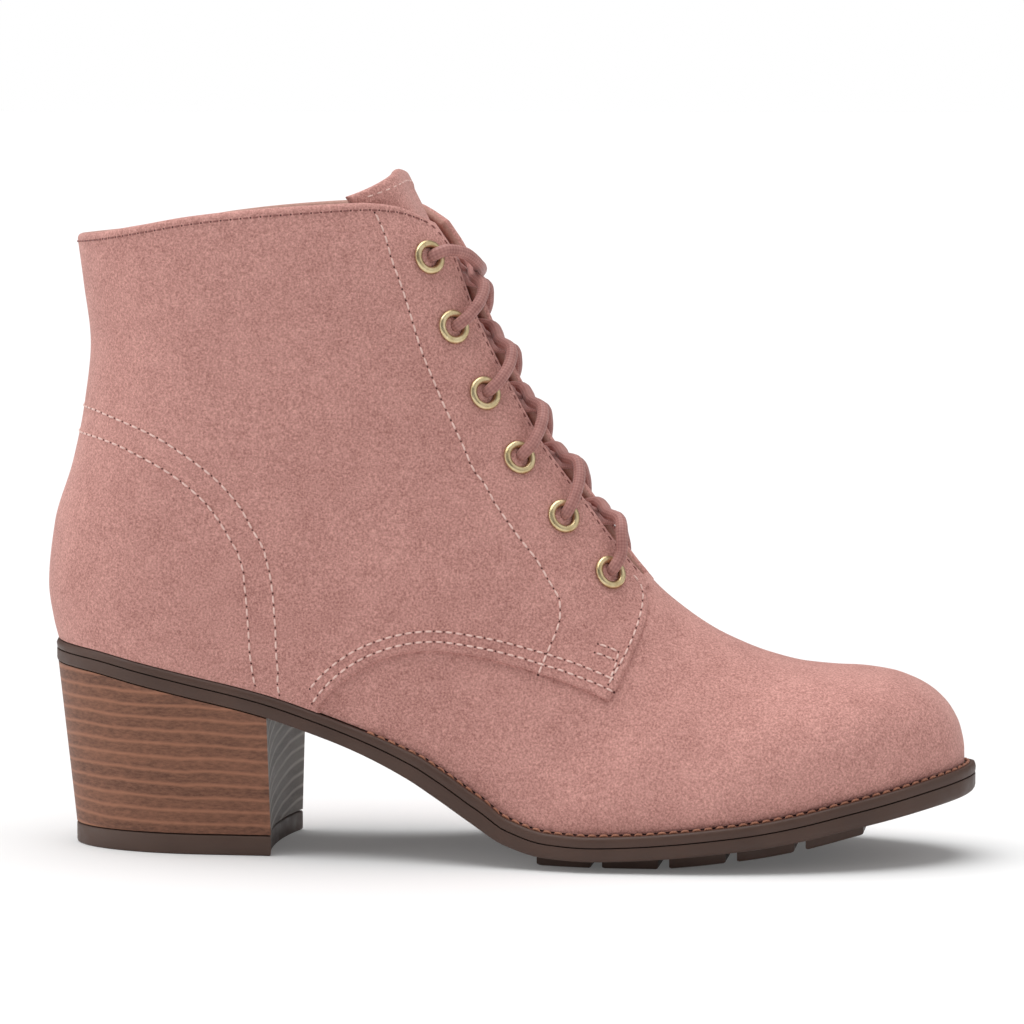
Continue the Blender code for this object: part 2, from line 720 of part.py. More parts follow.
def eyelet_holes(places):
    """One cutter for all the holes that the eyelets' tubes pass through."""
    points, faces = [], []
    count = 0
    for lap, y in places:
        for side in (-1, 1):
            centre, axis = on_surface(lap, side * y, 0.0)
            turn = 2 * np.pi * np.arange(14) / 14
            across = np.cross(axis, [0.0, 0.0, 1.0])
            across = across / np.linalg.norm(across)
            other = np.cross(axis, across)
            radius = EYELET_BORE + EYELET_TUBE + GAP
            ring = radius * (np.cos(turn)[:, None] * across + np.sin(turn)[:, None] * other)
            points += list(centre - axis * 2 * WALL + ring) + list(centre + axis * 3 * OVERLAY + ring)
            faces += [[count + k for k in range(14)], [count + 27 - k for k in range(14)]]
            faces += [[count + k, count + (k + 1) % 14, count + 14 + (k + 1) % 14, count + 14 + k]
                      for k in range(14)]
            count += 28
    return cutter("eyelet_holes", points, faces)


def upper(places):
    """The upper: one hollow wall, full at the quarters and stepped down over the vamp."""
    grid, on_seam, kept = upper_grid()
    body = add("upper", *shell(grid, on_seam, kept, OVERLAY, -WALL), SUEDE)
    skin = cutter("vamp_shaving", *shell(grid, on_seam, np.ones_like(kept), 3 * OVERLAY, 0.0, 3 * GAP))
    edge = [((share - 0.5) * LENGTH, height * COLLAR_FRONT) for share, height in QUARTER_EDGE]
    around = [(edge[-1][0], -0.02), (LENGTH, -0.02), (LENGTH, COLLAR_FRONT / 2), (edge[0][0] + 0.02, COLLAR_FRONT / 2)]
    side_view = cutter("vamp_side_view", *prism(edge + around, BALL_WIDTH))
    boolean(skin, side_view, "INTERSECT")
    boolean(body, skin, "DIFFERENCE")
    boolean(body, eyelet_holes(places), "DIFFERENCE")
    return body


def tongue():
    """Tongue behind the throat, from under the vamp to above the collar."""
    shaft = COLLAR_BACK - HEEL_SEAT
    top = -TONGUE_RISE / shaft
    laps = np.concatenate([np.linspace(top, 0, 5)[:-1], np.linspace(0, THROAT_LAP + 0.04, 18)])
    outer, inner = [], []
    for lap in laps:
        down = np.clip((lap - top) / (THROAT_LAP - top), 0, 1)
        half = TONGUE_TOP_HALF + (TONGUE_HALF - TONGUE_TOP_HALF) * down
        skins = [[], []]
        for share in np.linspace(-1, 1, 11):
            y = half * share
            corner = TONGUE_CORNER / shaft * np.abs(share) ** 1.4 * (1 - down) ** 8
            lift = -(WALL + TONGUE_SEAT) - throat_sag(lap, y)
            for skin, depth in zip(skins, (lift, lift - TONGUE)):
                skin.append(on_surface(lap + corner, y, depth)[0])
        outer.append(skins[0])
        inner.append(skins[1])
    return slab("tongue", [np.array(inner), np.array(outer)], SUEDE)


def tube(path, radius, sides=8):
    """Points and faces of a round rod along a path, with flat ends."""
    path = np.array(path)
    run = np.gradient(path, axis=0)
    run = run / np.linalg.norm(run, axis=1)[:, None]
    first = np.cross(run, np.broadcast_to([1.0, 0.0, 0.3], run.shape))
    first = first / np.linalg.norm(first, axis=1)[:, None]
    second = np.cross(run, first)
    turn = 2 * np.pi * np.arange(sides) / sides
    rings = path[:, None] + radius * (np.cos(turn)[None, :, None] * first[:, None]
                                      + np.sin(turn)[None, :, None] * second[:, None])
    count = len(path)
    faces = [list(range(sides))[::-1], [(count - 1) * sides + k for k in range(sides)]]
    for k in range(count - 1):
        for n in range(sides):
            after = (n + 1) % sides
            faces.append([k * sides + n, k * sides + after, (k + 1) * sides + after, (k + 1) * sides + n])
    return rings.reshape(-1, 3), faces


def strand(low, high, side, over, steps=8):
    """A lace's path from an eyelet over its facing and down beside the other, one eyelet up."""
    top = OVERLAY + GAP + LACE_RADIUS + 0.0002 + over
    deep = -WALL - TONGUE_SEAT + GAP + LACE_RADIUS + 0.0002 + over
    start = low[1] - LACE_START * 0.8
    end = -(throat_half(high[0]) - 1.3 * LACE_RADIUS - 3 * GAP)
    path = []
    for share in np.linspace(0, 1, steps):
        y = start + (end - start) * share
        lap = low[0] + (high[0] - low[0]) * (0.16 + 0.70 * share)
        edge = throat_half(lap)
        fall = np.clip((edge + LACE_RADIUS - y) / (edge + LACE_RADIUS - end), 0, 1)
        lift = top + (deep - top) * fall * fall * (3 - 2 * fall) - lace_sag(lap, y)
        path.append(on_surface(lap, side * y, lift)[0])
    return path


def laces(places):
    """The lace's crossings between the eyelets, each pair of strands joined, and its top bar."""
    made = []
    for number in range(EYELETS - 1):
        high, low = places[number], places[number + 1]
        piece = add(f"lace_crossing_{number + 1}", *tube(strand(low, high, -1, LACE_OVER), LACE_RADIUS), CORD)
        other = cutter(f"lace_strand_{number + 1}", *tube(strand(low, high, 1, 0.0), LACE_RADIUS))
        boolean(piece, other, "UNION")
        made.append(piece)
    lap, out = places[0]
    reach = out - LACE_START * 0.8
    lift = OVERLAY + GAP + LACE_RADIUS + 0.0002
    sag = []
    for y in np.linspace(-reach, reach, 9):
        arch = 1 - (y / reach) ** 2
        sag.append(on_surface(lap - 0.02 * arch, y, lift - 0.0012 * arch - lace_sag(lap, y))[0])
    made.append(add("lace_top_bar", *tube(sag, LACE_RADIUS), CORD))
    return made


def main():
    for piece in list(bpy.data.objects):
        bpy.data.objects.remove(piece, do_unlink=True)
    places = eyelet_places()
    outsole()
    welt()
    insole()
    heel_stack()
    top_piece()
    upper(places)
    tongue()
    for number, (lap, y) in enumerate(places, 1):
        eyelet(f"eyelet_lateral_{number}", lap, -y)
        eyelet(f"eyelet_medial_{number}", lap, y)
    laces(places)


main()
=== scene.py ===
"""Lace up ankle boot, dressed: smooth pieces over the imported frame, with camera, floor and light.

Metres, +Z up, +X towards the toe. The lateral side is at -Y and the medial side at +Y.
The sizes and the surface are the same as the CAD's. Tables hold shares of them unless they say millimetres.
"""

import bmesh
import bpy
import numpy as np
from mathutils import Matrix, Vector


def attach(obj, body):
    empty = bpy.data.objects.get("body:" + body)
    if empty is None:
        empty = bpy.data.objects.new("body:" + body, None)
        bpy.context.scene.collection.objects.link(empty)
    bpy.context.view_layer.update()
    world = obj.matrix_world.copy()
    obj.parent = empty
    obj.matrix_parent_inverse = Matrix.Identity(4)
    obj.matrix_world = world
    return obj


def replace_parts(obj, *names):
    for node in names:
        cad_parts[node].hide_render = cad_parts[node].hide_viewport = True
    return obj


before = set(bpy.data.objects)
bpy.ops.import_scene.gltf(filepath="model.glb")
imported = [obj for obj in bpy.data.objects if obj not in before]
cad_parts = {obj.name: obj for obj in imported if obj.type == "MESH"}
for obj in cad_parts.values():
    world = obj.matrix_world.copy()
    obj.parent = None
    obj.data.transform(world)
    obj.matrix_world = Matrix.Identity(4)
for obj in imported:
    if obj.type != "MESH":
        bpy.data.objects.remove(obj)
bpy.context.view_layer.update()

# Driving dimensions of the whole boot
LENGTH = 0.2555           # back of the counter to the tip of the welt
BALL_WIDTH = 0.0830       # vamp across the ball of the foot, at the sole
HEEL_HEIGHT = 0.0510      # floor to the underside of the outsole at the very back
TOE_SPRING = 0.0180       # floor to the underside of the outsole at the toe
COLLAR_BACK = 0.1683      # floor to the collar at the back
COLLAR_FRONT = 0.1770     # floor to the collar's highest stretch, near the throat
TOE_HEIGHT = 0.0516       # floor to the top of the toe box

# Gaps, walls and thicknesses
GAP = 0.0003              # between pieces that meet
WALL = 0.0019             # vamp leather with its lining
OVERLAY = 0.0011          # what the quarters add where they lie on the vamp
OUTSOLE_FORE = 0.0047     # outsole under the ball
OUTSOLE_HEEL = 0.0032     # outsole under the heel
WELT_FORE = 0.0028        # welt and midsole under the ball
WELT_HEEL = 0.0023        # welt and midsole under the heel
WELT_REACH_FORE = 0.0030  # how far the welt stands out from the vamp at the ball
WELT_REACH_HEEL = 0.0005  # how far it stands out from the quarters at the heel
EDGE_BEVEL = 0.0012       # chamfer along the lower edge of the outsole
CAMBER = 0.0010           # how far the forefoot's edge lies above its middle
INSOLE = 0.0022           # insole thickness

# Heel
HEEL_LENGTH = 0.0640      # back of the heel to its breast, at the top
HEEL_HOLLOW = 0.0025      # how far the breast is hollowed
HEEL_TAPER = 0.81         # width at the floor as a share of the width at the top
HEEL_LEAN = 0.925         # length at the floor as a share of the length at the top
TOP_PIECE = 0.0055        # rubber top piece under the heel

# Forefoot tread
TREAD_DEPTH = 0.0019      # how far the tread pads stand down from the outsole
TREAD_BACK = 0.0120       # where the first pad starts, ahead of the origin
TREAD_PITCH = 0.0180      # from one pad to the next
TREAD_GROOVE = 0.0030     # groove between two pads
TREAD_PADS = 5
TREAD_INSET = 0.0085      # from the outsole's edge to the ends of the pads
TREAD_FLAT = 0.0009       # height over which the pads are dressed flat on the floor

# Throat, tongue, eyelets and lace
THROAT_TOP = 0.0112       # half the gap between the facings at the collar
THROAT_LOW = 0.0086       # half the gap near the vamp
TONGUE = 0.0026           # tongue thickness
TONGUE_SEAT = 0.0011      # between the tongue and the facings over it
TONGUE_HALF = 0.0200      # half the tongue's width at the vamp
TONGUE_TOP_HALF = 0.0270  # half its width at the collar
TONGUE_RISE = 0.0300      # how far the tongue stands above the level of the collar at the back
TONGUE_CORNER = 0.0150    # how much lower its corners are than its middle
THROAT_SAG = 0.0024       # how far the tongue and the lace lie in between the facings
EYELETS = 6
EYELET_TOP = 0.0080       # first eyelet, below the level of the collar at the back
EYELET_PITCH = 0.0198     # along the facing
EYELET_INSET = 0.0083     # across, from the facing's front edge
EYELET_FLANGE = 0.0047    # outer radius of the flange
EYELET_BORE = 0.0026      # radius of the hole
EYELET_TUBE = 0.0005      # wall of the tube
EYELET_RIM = 0.0009       # flange thickness
EYELET_SEAT = 0.0004      # flange to facing
LACE_RADIUS = 0.00165

# How the forefoot gives way to the heel, as shares of the length
WAIST_BACK = 0.34
WAIST_FRONT = 0.46

# Rounding in plan and the fan of section planes
BACK_ROUND = 0.170        # share of the length over which the back is rounded
TOE_ROUND = 0.245         # share over which the toe is rounded
TOE_SWING = 0.0030        # how far the tip lies to the medial side
TUCK = 0.035              # how much the wall draws in at the sole
FAN_AHEAD = 0.591         # fan centre ahead of the origin, in lengths
FAN_HEIGHT = 0.966        # fan centre above the floor, in collar heights
THROAT_LAP = 1.420        # section at which the throat ends

# Underside of the outsole: what each station takes of the heel height and of the toe spring
UNDERSIDE = [
    # along, heel share, spring share
    (0.000, 1.000, 0.00),
    (0.060, 0.973, 0.00),
    (0.120, 0.913, 0.00),
    (0.180, 0.846, 0.00),
    (0.250, 0.760, 0.00),
    (0.304, 0.670, 0.00),
    (0.353, 0.575, 0.00),
    (0.410, 0.424, 0.00),
    (0.440, 0.324, 0.00),
    (0.481, 0.183, 0.00),
    (0.515, 0.075, 0.00),
    (0.560, 0.012, 0.00),
    (0.605, 0.000, 0.00),
    (0.655, 0.000, 0.03),
    (0.700, 0.000, 0.09),
    (0.740, 0.000, 0.16),
    (0.784, 0.000, 0.25),
    (0.829, 0.000, 0.38),
    (0.873, 0.000, 0.54),
    (0.915, 0.000, 0.69),
    (0.960, 0.000, 0.86),
    (1.000, 0.000, 1.00),
]

# Back of the boot from the sole to above the collar: how far it lies in from its furthest point
BACK = [
    # height share, inset as a share of the length
    (0.000, 0.0105),
    (0.050, 0.0050),
    (0.135, 0.0000),
    (0.285, 0.0070),
    (0.436, 0.0274),
    (0.585, 0.0411),
    (0.734, 0.0481),
    (0.882, 0.0411),
    (1.000, 0.0345),
    (1.300, 0.0200),
]

# Top line from the toe to the tongue's height: back from the tip, up the toe, up to the collar
RIDGE = [
    # behind the tip, share of the toe's rise, share of the collar's rise
    (0.0000, 0.000, 0.000),
    (0.0003, 0.150, 0.000),
    (0.0045, 0.366, 0.000),
    (0.0155, 0.585, 0.000),
    (0.0366, 0.785, 0.000),
    (0.0578, 0.890, 0.000),
    (0.0793, 0.955, 0.000),
    (0.1216, 1.000, 0.000),
    (0.1642, 1.000, 0.006),
    (0.2069, 1.000, 0.026),
    (0.2496, 1.000, 0.061),
    (0.2926, 1.000, 0.115),
    (0.3353, 1.000, 0.190),
    (0.3629, 1.000, 0.281),
    (0.3855, 1.000, 0.346),
    (0.4104, 1.000, 0.411),
    (0.4337, 1.000, 0.475),
    (0.4791, 1.000, 0.639),
    (0.5092, 1.000, 0.769),
    (0.5319, 1.000, 0.899),
    (0.5429, 1.000, 0.933),
    (0.5546, 1.000, 0.967),
    (0.5687, 1.000, 1.023),
    (0.5852, 1.000, 1.088),
    (0.5981, 1.000, 1.143),
]

# Sections of the last: lap 0 is at the collar, 1 at the heel's corner and 2 at the toe
SECTIONS = [
    # lap, lateral half, medial half, front extent, fullness
    (-0.30, 0.410, 0.410, 0.50, 2.05),
    (0.000, 0.410, 0.410, 0.50, 2.05),
    (0.300, 0.388, 0.388, 0.46, 2.10),
    (0.500, 0.375, 0.375, 0.41, 2.10),
    (0.750, 0.366, 0.366, 0.36, 2.10),
    (0.950, 0.362, 0.362, 0.34, 2.05),
    (1.100, 0.362, 0.362, 0.37, 2.00),
    (1.260, 0.366, 0.358, 0.49, 1.95),
    (1.380, 0.384, 0.336, 0.64, 1.90),
    (1.500, 0.436, 0.398, 0.82, 1.90),
    (1.620, 0.502, 0.470, 0.96, 1.95),
    (1.700, 0.502, 0.498, 1.00, 2.05),
    (1.800, 0.478, 0.470, 1.00, 2.25),
    (1.880, 0.465, 0.430, 1.00, 2.35),
    (2.000, 0.450, 0.410, 1.00, 2.20),
]

# Collar line, from the throat round to the back
COLLAR = [
    # share round the section, share of the collar's extra height
    (0.000, 0.05),
    (0.030, 0.30),
    (0.060, 0.62),
    (0.095, 0.82),
    (0.170, 0.93),
    (0.326, 0.87),
    (0.480, 0.76),
    (0.636, 0.58),
    (0.790, 0.30),
    (0.915, 0.09),
    (1.000, 0.00),
]

# Edge of the quarters on the vamp, seen from the side, from the throat down and back to the sole
QUARTER_EDGE = [
    # along, height as a share of the collar's
    (0.668, 0.460),
    (0.652, 0.412),
    (0.656, 0.388),
    (0.653, 0.351),
    (0.639, 0.297),
    (0.624, 0.252),
    (0.584, 0.277),
    (0.544, 0.296),
    (0.505, 0.312),
    (0.464, 0.323),
    (0.435, 0.326),
    (0.405, 0.320),
    (0.374, 0.305),
    (0.350, 0.285),
    (0.330, 0.260),
    (0.316, 0.234),
    (0.310, 0.200),
]

# What only the scene has: how finely its pieces are divided
CORNER_ROW = 4            # which row of the quarter's edge, after the first, is its corner
EDGE_STEPS = np.array([0, 0.0002, 0.0005, 0.0009, 0.0014])  # rows close to a rounded edge
QUARTER_TALL = 0.150      # the quarter from the collar to its edge, for those rows
QUARTER_WIDE = 0.106      # and from the throat to the back
QUARTER_ROWS = 150
FACING_COLUMNS = 34       # from the throat to the section through the quarter's corner
BACK_COLUMNS = 92         # from there to the back
VAMP_ROWS = 130
VAMP_COLUMNS = 161
TONGUE_ROWS = 130
TONGUE_COLUMNS = 52
SOLE_STATIONS = 220
SOLE_COLUMNS = 10
LACE_SIDES = 14
EYELET_SIDES = 40
THREAD_RINGS = 7
THREAD_SIDES = 6
HOLE_SIDES = 8

# and its own small forms
THROAT_ROLL = 0.00012     # how far the turned edge of the facing swells
THROAT_ROLL_WIDE = 0.006
CREASE_FADE = 0.012       # height over the sole at which creases reach their full depth
TONGUE_PRESS = 0.0032     # how far the lace can press the tongue in
TONGUE_HEM = 0.0004       # how far its folded hem stands up
TONGUE_HEM_WIDE = 0.0052
LACE_BOW = 0.0030         # how far a near strand bows out past its facing
BRAID_PITCH = 0.0016      # along the lace
LIFT_PITCH = 0.0036       # height of one layer of the heel
STITCH = 0.0031           # from needle hole to needle hole
EDGE_STITCH = 0.0027      # along the collar and the throat
WELT_STITCH = 0.0031
NEEDLE = 1.35             # needle hole over thread radius
COLLAR_ROW_IN = 0.0021    # stitches below the collar's edge
THROAT_ROW_IN = 0.0018    # stitches beside the throat's edge
TONGUE_ROW_IN = 0.0035 / 0.075  # stitches below the tongue's top, in laps
WELT_ROW_BACK = -0.035    # where the welt's stitches end
LOWER_ROWS = (2.4, 5.2)   # rows along the quarter's edge, in from it, in millimetres
LOWER_ROWS_END = 33.5     # where they end in front, in millimetres

# Soft creases, seen from the side: a trough where the height is below zero
CREASES = [
    # from x, z to x, z, half width, height, all in millimetres
    (-98, 88, -52, 103, 8.0, -0.55),
    (-92, 104, -45, 116, 7.0, 0.35),
    (-60, 74, -18, 92, 9.0, -0.50),
    (-50, 128, -26, 138, 7.0, -0.35),
    (-105, 140, -62, 132, 9.0, -0.40),
    (-24, 66, 6, 84, 7.0, 0.35),
    (44, 66, 66, 40, 7.0, -0.35),
    (56, 60, 76, 34, 8.0, 0.25),
    (-88, 160, -50, 152, 8.0, 0.30),
]

# Rows of stitches, seen from the side, in millimetres
FACING_ROW = [
    (-33.0, 174.5), (-31.0, 170.5), (-28.5, 163.0), (-26.0, 156.0), (-23.0, 146.5), (-20.0, 137.0),
    (-16.5, 128.5), (-12.5, 119.5), (-8.5, 111.0), (-4.0, 103.0), (-0.5, 97.0), (3.0, 92.0), (7.0, 86.5),
    (11.0, 81.5), (14.5, 75.5), (17.0, 71.5), (17.5, 67.0), (17.0, 63.5), (15.5, 59.5), (14.0, 55.5),
    (12.5, 51.5),
]
COUNTER_OUTER = [
    (-116.5, 121.2), (-113.5, 120.8), (-108.5, 120.0), (-100.0, 117.5), (-91.0, 114.0), (-82.5, 109.0),
    (-76.5, 104.5), (-72.0, 100.0), (-68.0, 95.0), (-64.8, 89.0), (-62.0, 83.0), (-60.2, 76.5), (-59.3, 68.5),
    (-58.8, 60.0), (-58.2, 51.0), (-57.9, 45.0),
]
COUNTER_INNER = [
    (-118.5, 114.0), (-117.0, 113.9), (-111.5, 113.4), (-104.0, 111.8), (-97.5, 109.4), (-90.5, 106.2),
    (-84.5, 102.5), (-78.5, 97.3), (-74.0, 91.5), (-70.7, 86.0), (-68.5, 80.0), (-67.2, 73.5), (-66.6, 66.5),
    (-66.1, 59.5), (-65.3, 52.0), (-64.6, 47.5),
]
FRONT_ROW = [(34.5, 76.5), (37.0, 73.5), (38.0, 69.5), (37.4, 64.0), (36.0, 59.3), (34.5, 55.6), (31.0, 48.8)]
TACKS = [
    [(27.7, 59.2), (30.4, 58.3), (33.1, 57.0)],
    [(27.0, 57.0), (29.5, 56.2), (32.0, 55.0)],
    [(33.1, 57.0), (32.6, 53.6), (31.4, 50.4)],
]

# Lights and camera
SUNS = [
    # name, towards the light, angle, strength
    ("high", (-0.15, 0.0, 1.0), 60.0, 2.80),
    ("left", (-0.95, -0.22, 0.30), 60.0, 1.05),
    ("right", (0.90, -0.08, 0.55), 60.0, 0.50),
]
SURROUND = 0.25           # brightness of the white surround
FLOOR_HALF = 30.0
FLOOR_GLOW = 0.09         # light the floor gives off, which softens the shadow
CAMERA_AIM = (0.00115, 0.0, 0.0925)
CAMERA_AZIMUTH = 7.8
CAMERA_RAISE = 5.0
CAMERA_DISTANCE = 1.35
CAMERA_LENS = 173.7


def smooth(rows, column, at):
    """Cubic through a table's rows that never swings past the rows' own values."""
    x = np.array([row[0] for row in rows], float)
    y = np.array([row[column] for row in rows], float)
    step = np.diff(x)
    slope = np.diff(y) / step
    turn = np.zeros_like(y)
    turn[0], turn[-1] = slope[0], slope[-1]
    before, after = slope[:-1], slope[1:]
    same = before * after > 0
    weight_a = 2 * step[1:] + step[:-1]
    weight_b = step[1:] + 2 * step[:-1]
    inner = np.zeros_like(before)
    inner[same] = (weight_a + weight_b)[same] / (weight_a[same] / before[same] + weight_b[same] / after[same])
    turn[1:-1] = inner
    at = np.clip(np.asarray(at, float), x[0], x[-1])
    i = np.clip(np.searchsorted(x, at, "right") - 1, 0, len(step) - 1)
    t = (at - x[i]) / step[i]
    return ((1 + 2 * t) * (1 - t) ** 2 * y[i] + t * (1 - t) ** 2 * step[i] * turn[i]
            + t * t * (3 - 2 * t) * y[i + 1] - t * t * (1 - t) * step[i] * turn[i + 1])


def rounded(share, power):
    """0 to 1 along a quarter of a superellipse, and 1 beyond it."""
    share = np.clip(share, 0, 1)
    return (1 - (1 - share) ** power) ** (1 / power)


def along(x):
    """Share of the length from the back to the tip."""
    return x / LENGTH + 0.5


def forefoot(x):
    """0 in the heel and 1 in the forefoot, easing through the waist."""
    t = np.clip((along(x) - WAIST_BACK) / (WAIST_FRONT - WAIST_BACK), 0, 1)
    return t * t * (3 - 2 * t)


def between(heel, fore, x):
    """A size that changes from the heel to the forefoot through the waist."""
    return heel + (fore - heel) * forefoot(x)


def underside(x):
    """Height of the outsole's underside along the middle."""
    share = along(x)
    rise = (HEEL_HEIGHT - TREAD_DEPTH) * smooth(UNDERSIDE, 1, share)
    return TREAD_DEPTH + rise + (TOE_SPRING - TREAD_DEPTH) * smooth(UNDERSIDE, 2, share)


def slant(x):
    """What a thickness measured across the sole grows by when it is measured upright."""
    step = LENGTH / 1000
    slope = (underside(x + step) - underside(x - step)) / (2 * step)
    return np.sqrt(1 + slope * slope)


def outsole_top(x):
    """Height of the outsole's upper side."""
    return underside(x) + between(OUTSOLE_HEEL, OUTSOLE_FORE, x) * slant(x)


def welt_low(x):
    """Height of the welt's underside, a gap above the outsole."""
    return outsole_top(x) + GAP * slant(x)


def welt_top(x):
    """Height of the welt's upper side."""
    return welt_low(x) + between(WELT_HEEL, WELT_FORE, x) * slant(x)


def seat(x):
    """Where the upper and the insole stand, just clear of the welt."""
    return welt_top(x) + GAP * slant(x)


# Places that follow from the sizes
BACK_END = -LENGTH / 2 + OVERLAY
UPPER_TIP = LENGTH / 2 - WELT_REACH_FORE
HEEL_CORNER = BACK_END + BACK[0][1] * LENGTH
HEEL_SEAT = float(seat(HEEL_CORNER))
TIP_SEAT = float(seat(UPPER_TIP))
FAN_X = FAN_AHEAD * LENGTH
FAN_Z = FAN_HEIGHT * COLLAR_FRONT
HEEL_BACK = HEEL_CORNER - OVERLAY - WELT_REACH_HEEL
BREAST = HEEL_BACK + HEEL_LENGTH
TONGUE_LAP = -TONGUE_RISE / (COLLAR_BACK - HEEL_SEAT)


def back_x(z):
    """How far back the boot reaches at a height."""
    height = (z - HEEL_SEAT) / (COLLAR_BACK - HEEL_SEAT)
    return BACK_END + LENGTH * smooth(BACK, 1, height)


def ridge_curve():
    """The top line as a dense run of points, with the angle of each about the fan's centre."""
    rows = [(index,) + row for index, row in enumerate(RIDGE)]
    at = np.linspace(0, len(RIDGE) - 1, 600)
    x = UPPER_TIP - LENGTH * smooth(rows, 1, at)
    z = TIP_SEAT + (TOE_HEIGHT - TIP_SEAT) * smooth(rows, 2, at)
    z = z + (COLLAR_FRONT - TOE_HEIGHT) * smooth(rows, 3, at)
    return x, z, np.arctan2(FAN_Z - z, FAN_X - x)


RIDGE_X, RIDGE_Z, RIDGE_ANGLE = ridge_curve()


def exit_point(lap):
    """Where a section leaves the boot: down the back up to lap 1, then along the sole's seam."""
    lap = np.asarray(lap, float)
    z_back = HEEL_SEAT + (1 - np.minimum(lap, 1)) * (COLLAR_BACK - HEEL_SEAT)
    x_foot = HEEL_CORNER + (UPPER_TIP - HEEL_CORNER) * np.clip(lap - 1, 0, 1)
    x = np.where(lap <= 1, back_x(z_back), x_foot)
    z = np.where(lap <= 1, z_back, seat(x_foot))
    return x, z


def surface(lap, share, side):
    """A point of the vamp-level surface, on the section lap, share of the way from ridge to exit."""
    lap, share, side = np.broadcast_arrays(np.asarray(lap, float), np.asarray(share, float), side)
    exit_x, exit_z = exit_point(lap)
    angle = np.arctan2(FAN_Z - exit_z, FAN_X - exit_x)
    ridge_x = np.interp(angle, RIDGE_ANGLE[::-1], RIDGE_X[::-1])
    ridge_z = np.interp(angle, RIDGE_ANGLE[::-1], RIDGE_Z[::-1])
    x = ridge_x + (exit_x - ridge_x) * share
    z = ridge_z + (exit_z - ridge_z) * share
    half = BALL_WIDTH * np.where(side < 0, smooth(SECTIONS, 1, lap), smooth(SECTIONS, 2, lap))
    half = half * rounded(share / smooth(SECTIONS, 3, lap), smooth(SECTIONS, 4, lap))
    half = half * rounded((x - back_x(z)) / (BACK_ROUND * LENGTH), 2)
    half = half * rounded((UPPER_TIP - exit_x) / (TOE_ROUND * LENGTH), 2)
    half = half * (1 - TUCK * np.clip((share - 0.8) / 0.2, 0, 1) ** 2 * np.clip(lap - 1, 0, 0.2) / 0.2)
    swing = TOE_SWING * np.clip(2 * x / LENGTH, 0, 1) ** 2
    return np.stack([x, swing + side * half, z], -1)


def throat_half(lap):
    """Half the gap between the facings, narrowing from the collar to the vamp."""
    share = np.clip(lap / THROAT_LAP, 0, 1)
    narrow = 0.35 * THROAT_LOW * np.clip(share * 12 - 11, 0, 1) ** 2
    return THROAT_TOP + (THROAT_LOW - THROAT_TOP) * share - narrow


SHARES = np.linspace(0, 1, 400) ** 2


def share_at(lap, out, side):
    """How far round the section lap the surface lies out from the middle plane by the length out."""
    y = np.abs(surface(lap, SHARES, side)[:, 1] - surface(lap, 0.0, side)[..., 1])
    top = int(np.argmax(y))
    return float(np.interp(out, y[:top + 1], SHARES[:top + 1]))


def throat_sag(lap, y):
    """How far what lies in the throat is drawn in below the surface between the facings."""
    return THROAT_SAG * np.clip(1 - (y / (1.5 * throat_half(lap))) ** 2, 0, 1) ** 2


def sole_edges(margin, stations):
    """The upper's outline on the sole, moved out by margin: lateral and medial edges as x and y."""
    lap = 1 + (1 - np.cos(np.pi * np.arange(stations + 1) / stations)) / 2
    lateral = surface(lap, 1.0, -1)[:, :2]
    medial = surface(lap, 1.0, 1)[:, :2]
    loop = np.concatenate([lateral, medial[-2:0:-1]])
    run = np.roll(loop, -1, 0) - np.roll(loop, 1, 0)
    outward = np.stack([run[:, 1], -run[:, 0]], 1) / np.linalg.norm(run, axis=1)[:, None]
    loop = loop + outward * margin(loop[:, 0])[:, None]
    lateral = loop[:stations + 1]
    medial = np.concatenate([loop[:1], loop[:stations - 1:-1]])
    return lateral, medial


def sole_grid(margin, height, stations, columns):
    """A sole-shaped grid: columns from the lateral edge to the medial one, raised to height(x, y)."""
    lateral, medial = sole_edges(margin, stations)
    share = np.linspace(0, 1, columns + 1)[None, :, None]
    grid = lateral[:, None] + (medial - lateral)[:, None] * share
    z = height(grid[..., 0], grid[..., 1])
    return np.concatenate([grid, z[..., None]], -1)


def welt_margin(x):
    """How far the welt lies out from the vamp's outline."""
    return between(OVERLAY + WELT_REACH_HEEL, WELT_REACH_FORE, x)


def bevel(x):
    """Chamfer of the outsole's lower edge."""
    return between(GAP, EDGE_BEVEL, x)


def low_margin(x):
    """How far the underside's edge lies out from the vamp's outline."""
    return welt_margin(x) - bevel(x)


def outsole_low(x, y):
    """Underside of the outsole, its edge above its middle in the forefoot."""
    return underside(x) + CAMBER * forefoot(x) * (2 * y / BALL_WIDTH) ** 2


def tread_low(x):
    """Underside of the tread pads, dressed flat where they meet the floor."""
    return np.maximum(underside(x) - TREAD_DEPTH - TREAD_FLAT, 0)


def eyelet_places():
    """Lap and distance from the middle plane of each eyelet, evenly spaced down the facing."""
    laps = np.linspace(0, THROAT_LAP, 60)
    out = throat_half(laps) + EYELET_INSET
    points = np.array([surface(lap, share_at(lap, y, -1), -1) for lap, y in zip(laps, out)])
    run = length_along(points)
    at = EYELET_TOP + EYELET_PITCH * np.arange(EYELETS)
    return [(float(np.interp(a, run, laps)), float(np.interp(a, run, out))) for a in at]


def bent(u):
    """Share round a section for an even step u, dense towards the ridge and towards the far end."""
    return (1 - np.cos(np.pi * u)) / 2


def unbent(share):
    """The even step for a share round a section."""
    return np.arccos(1 - 2 * np.clip(share, 0, 1)) / np.pi


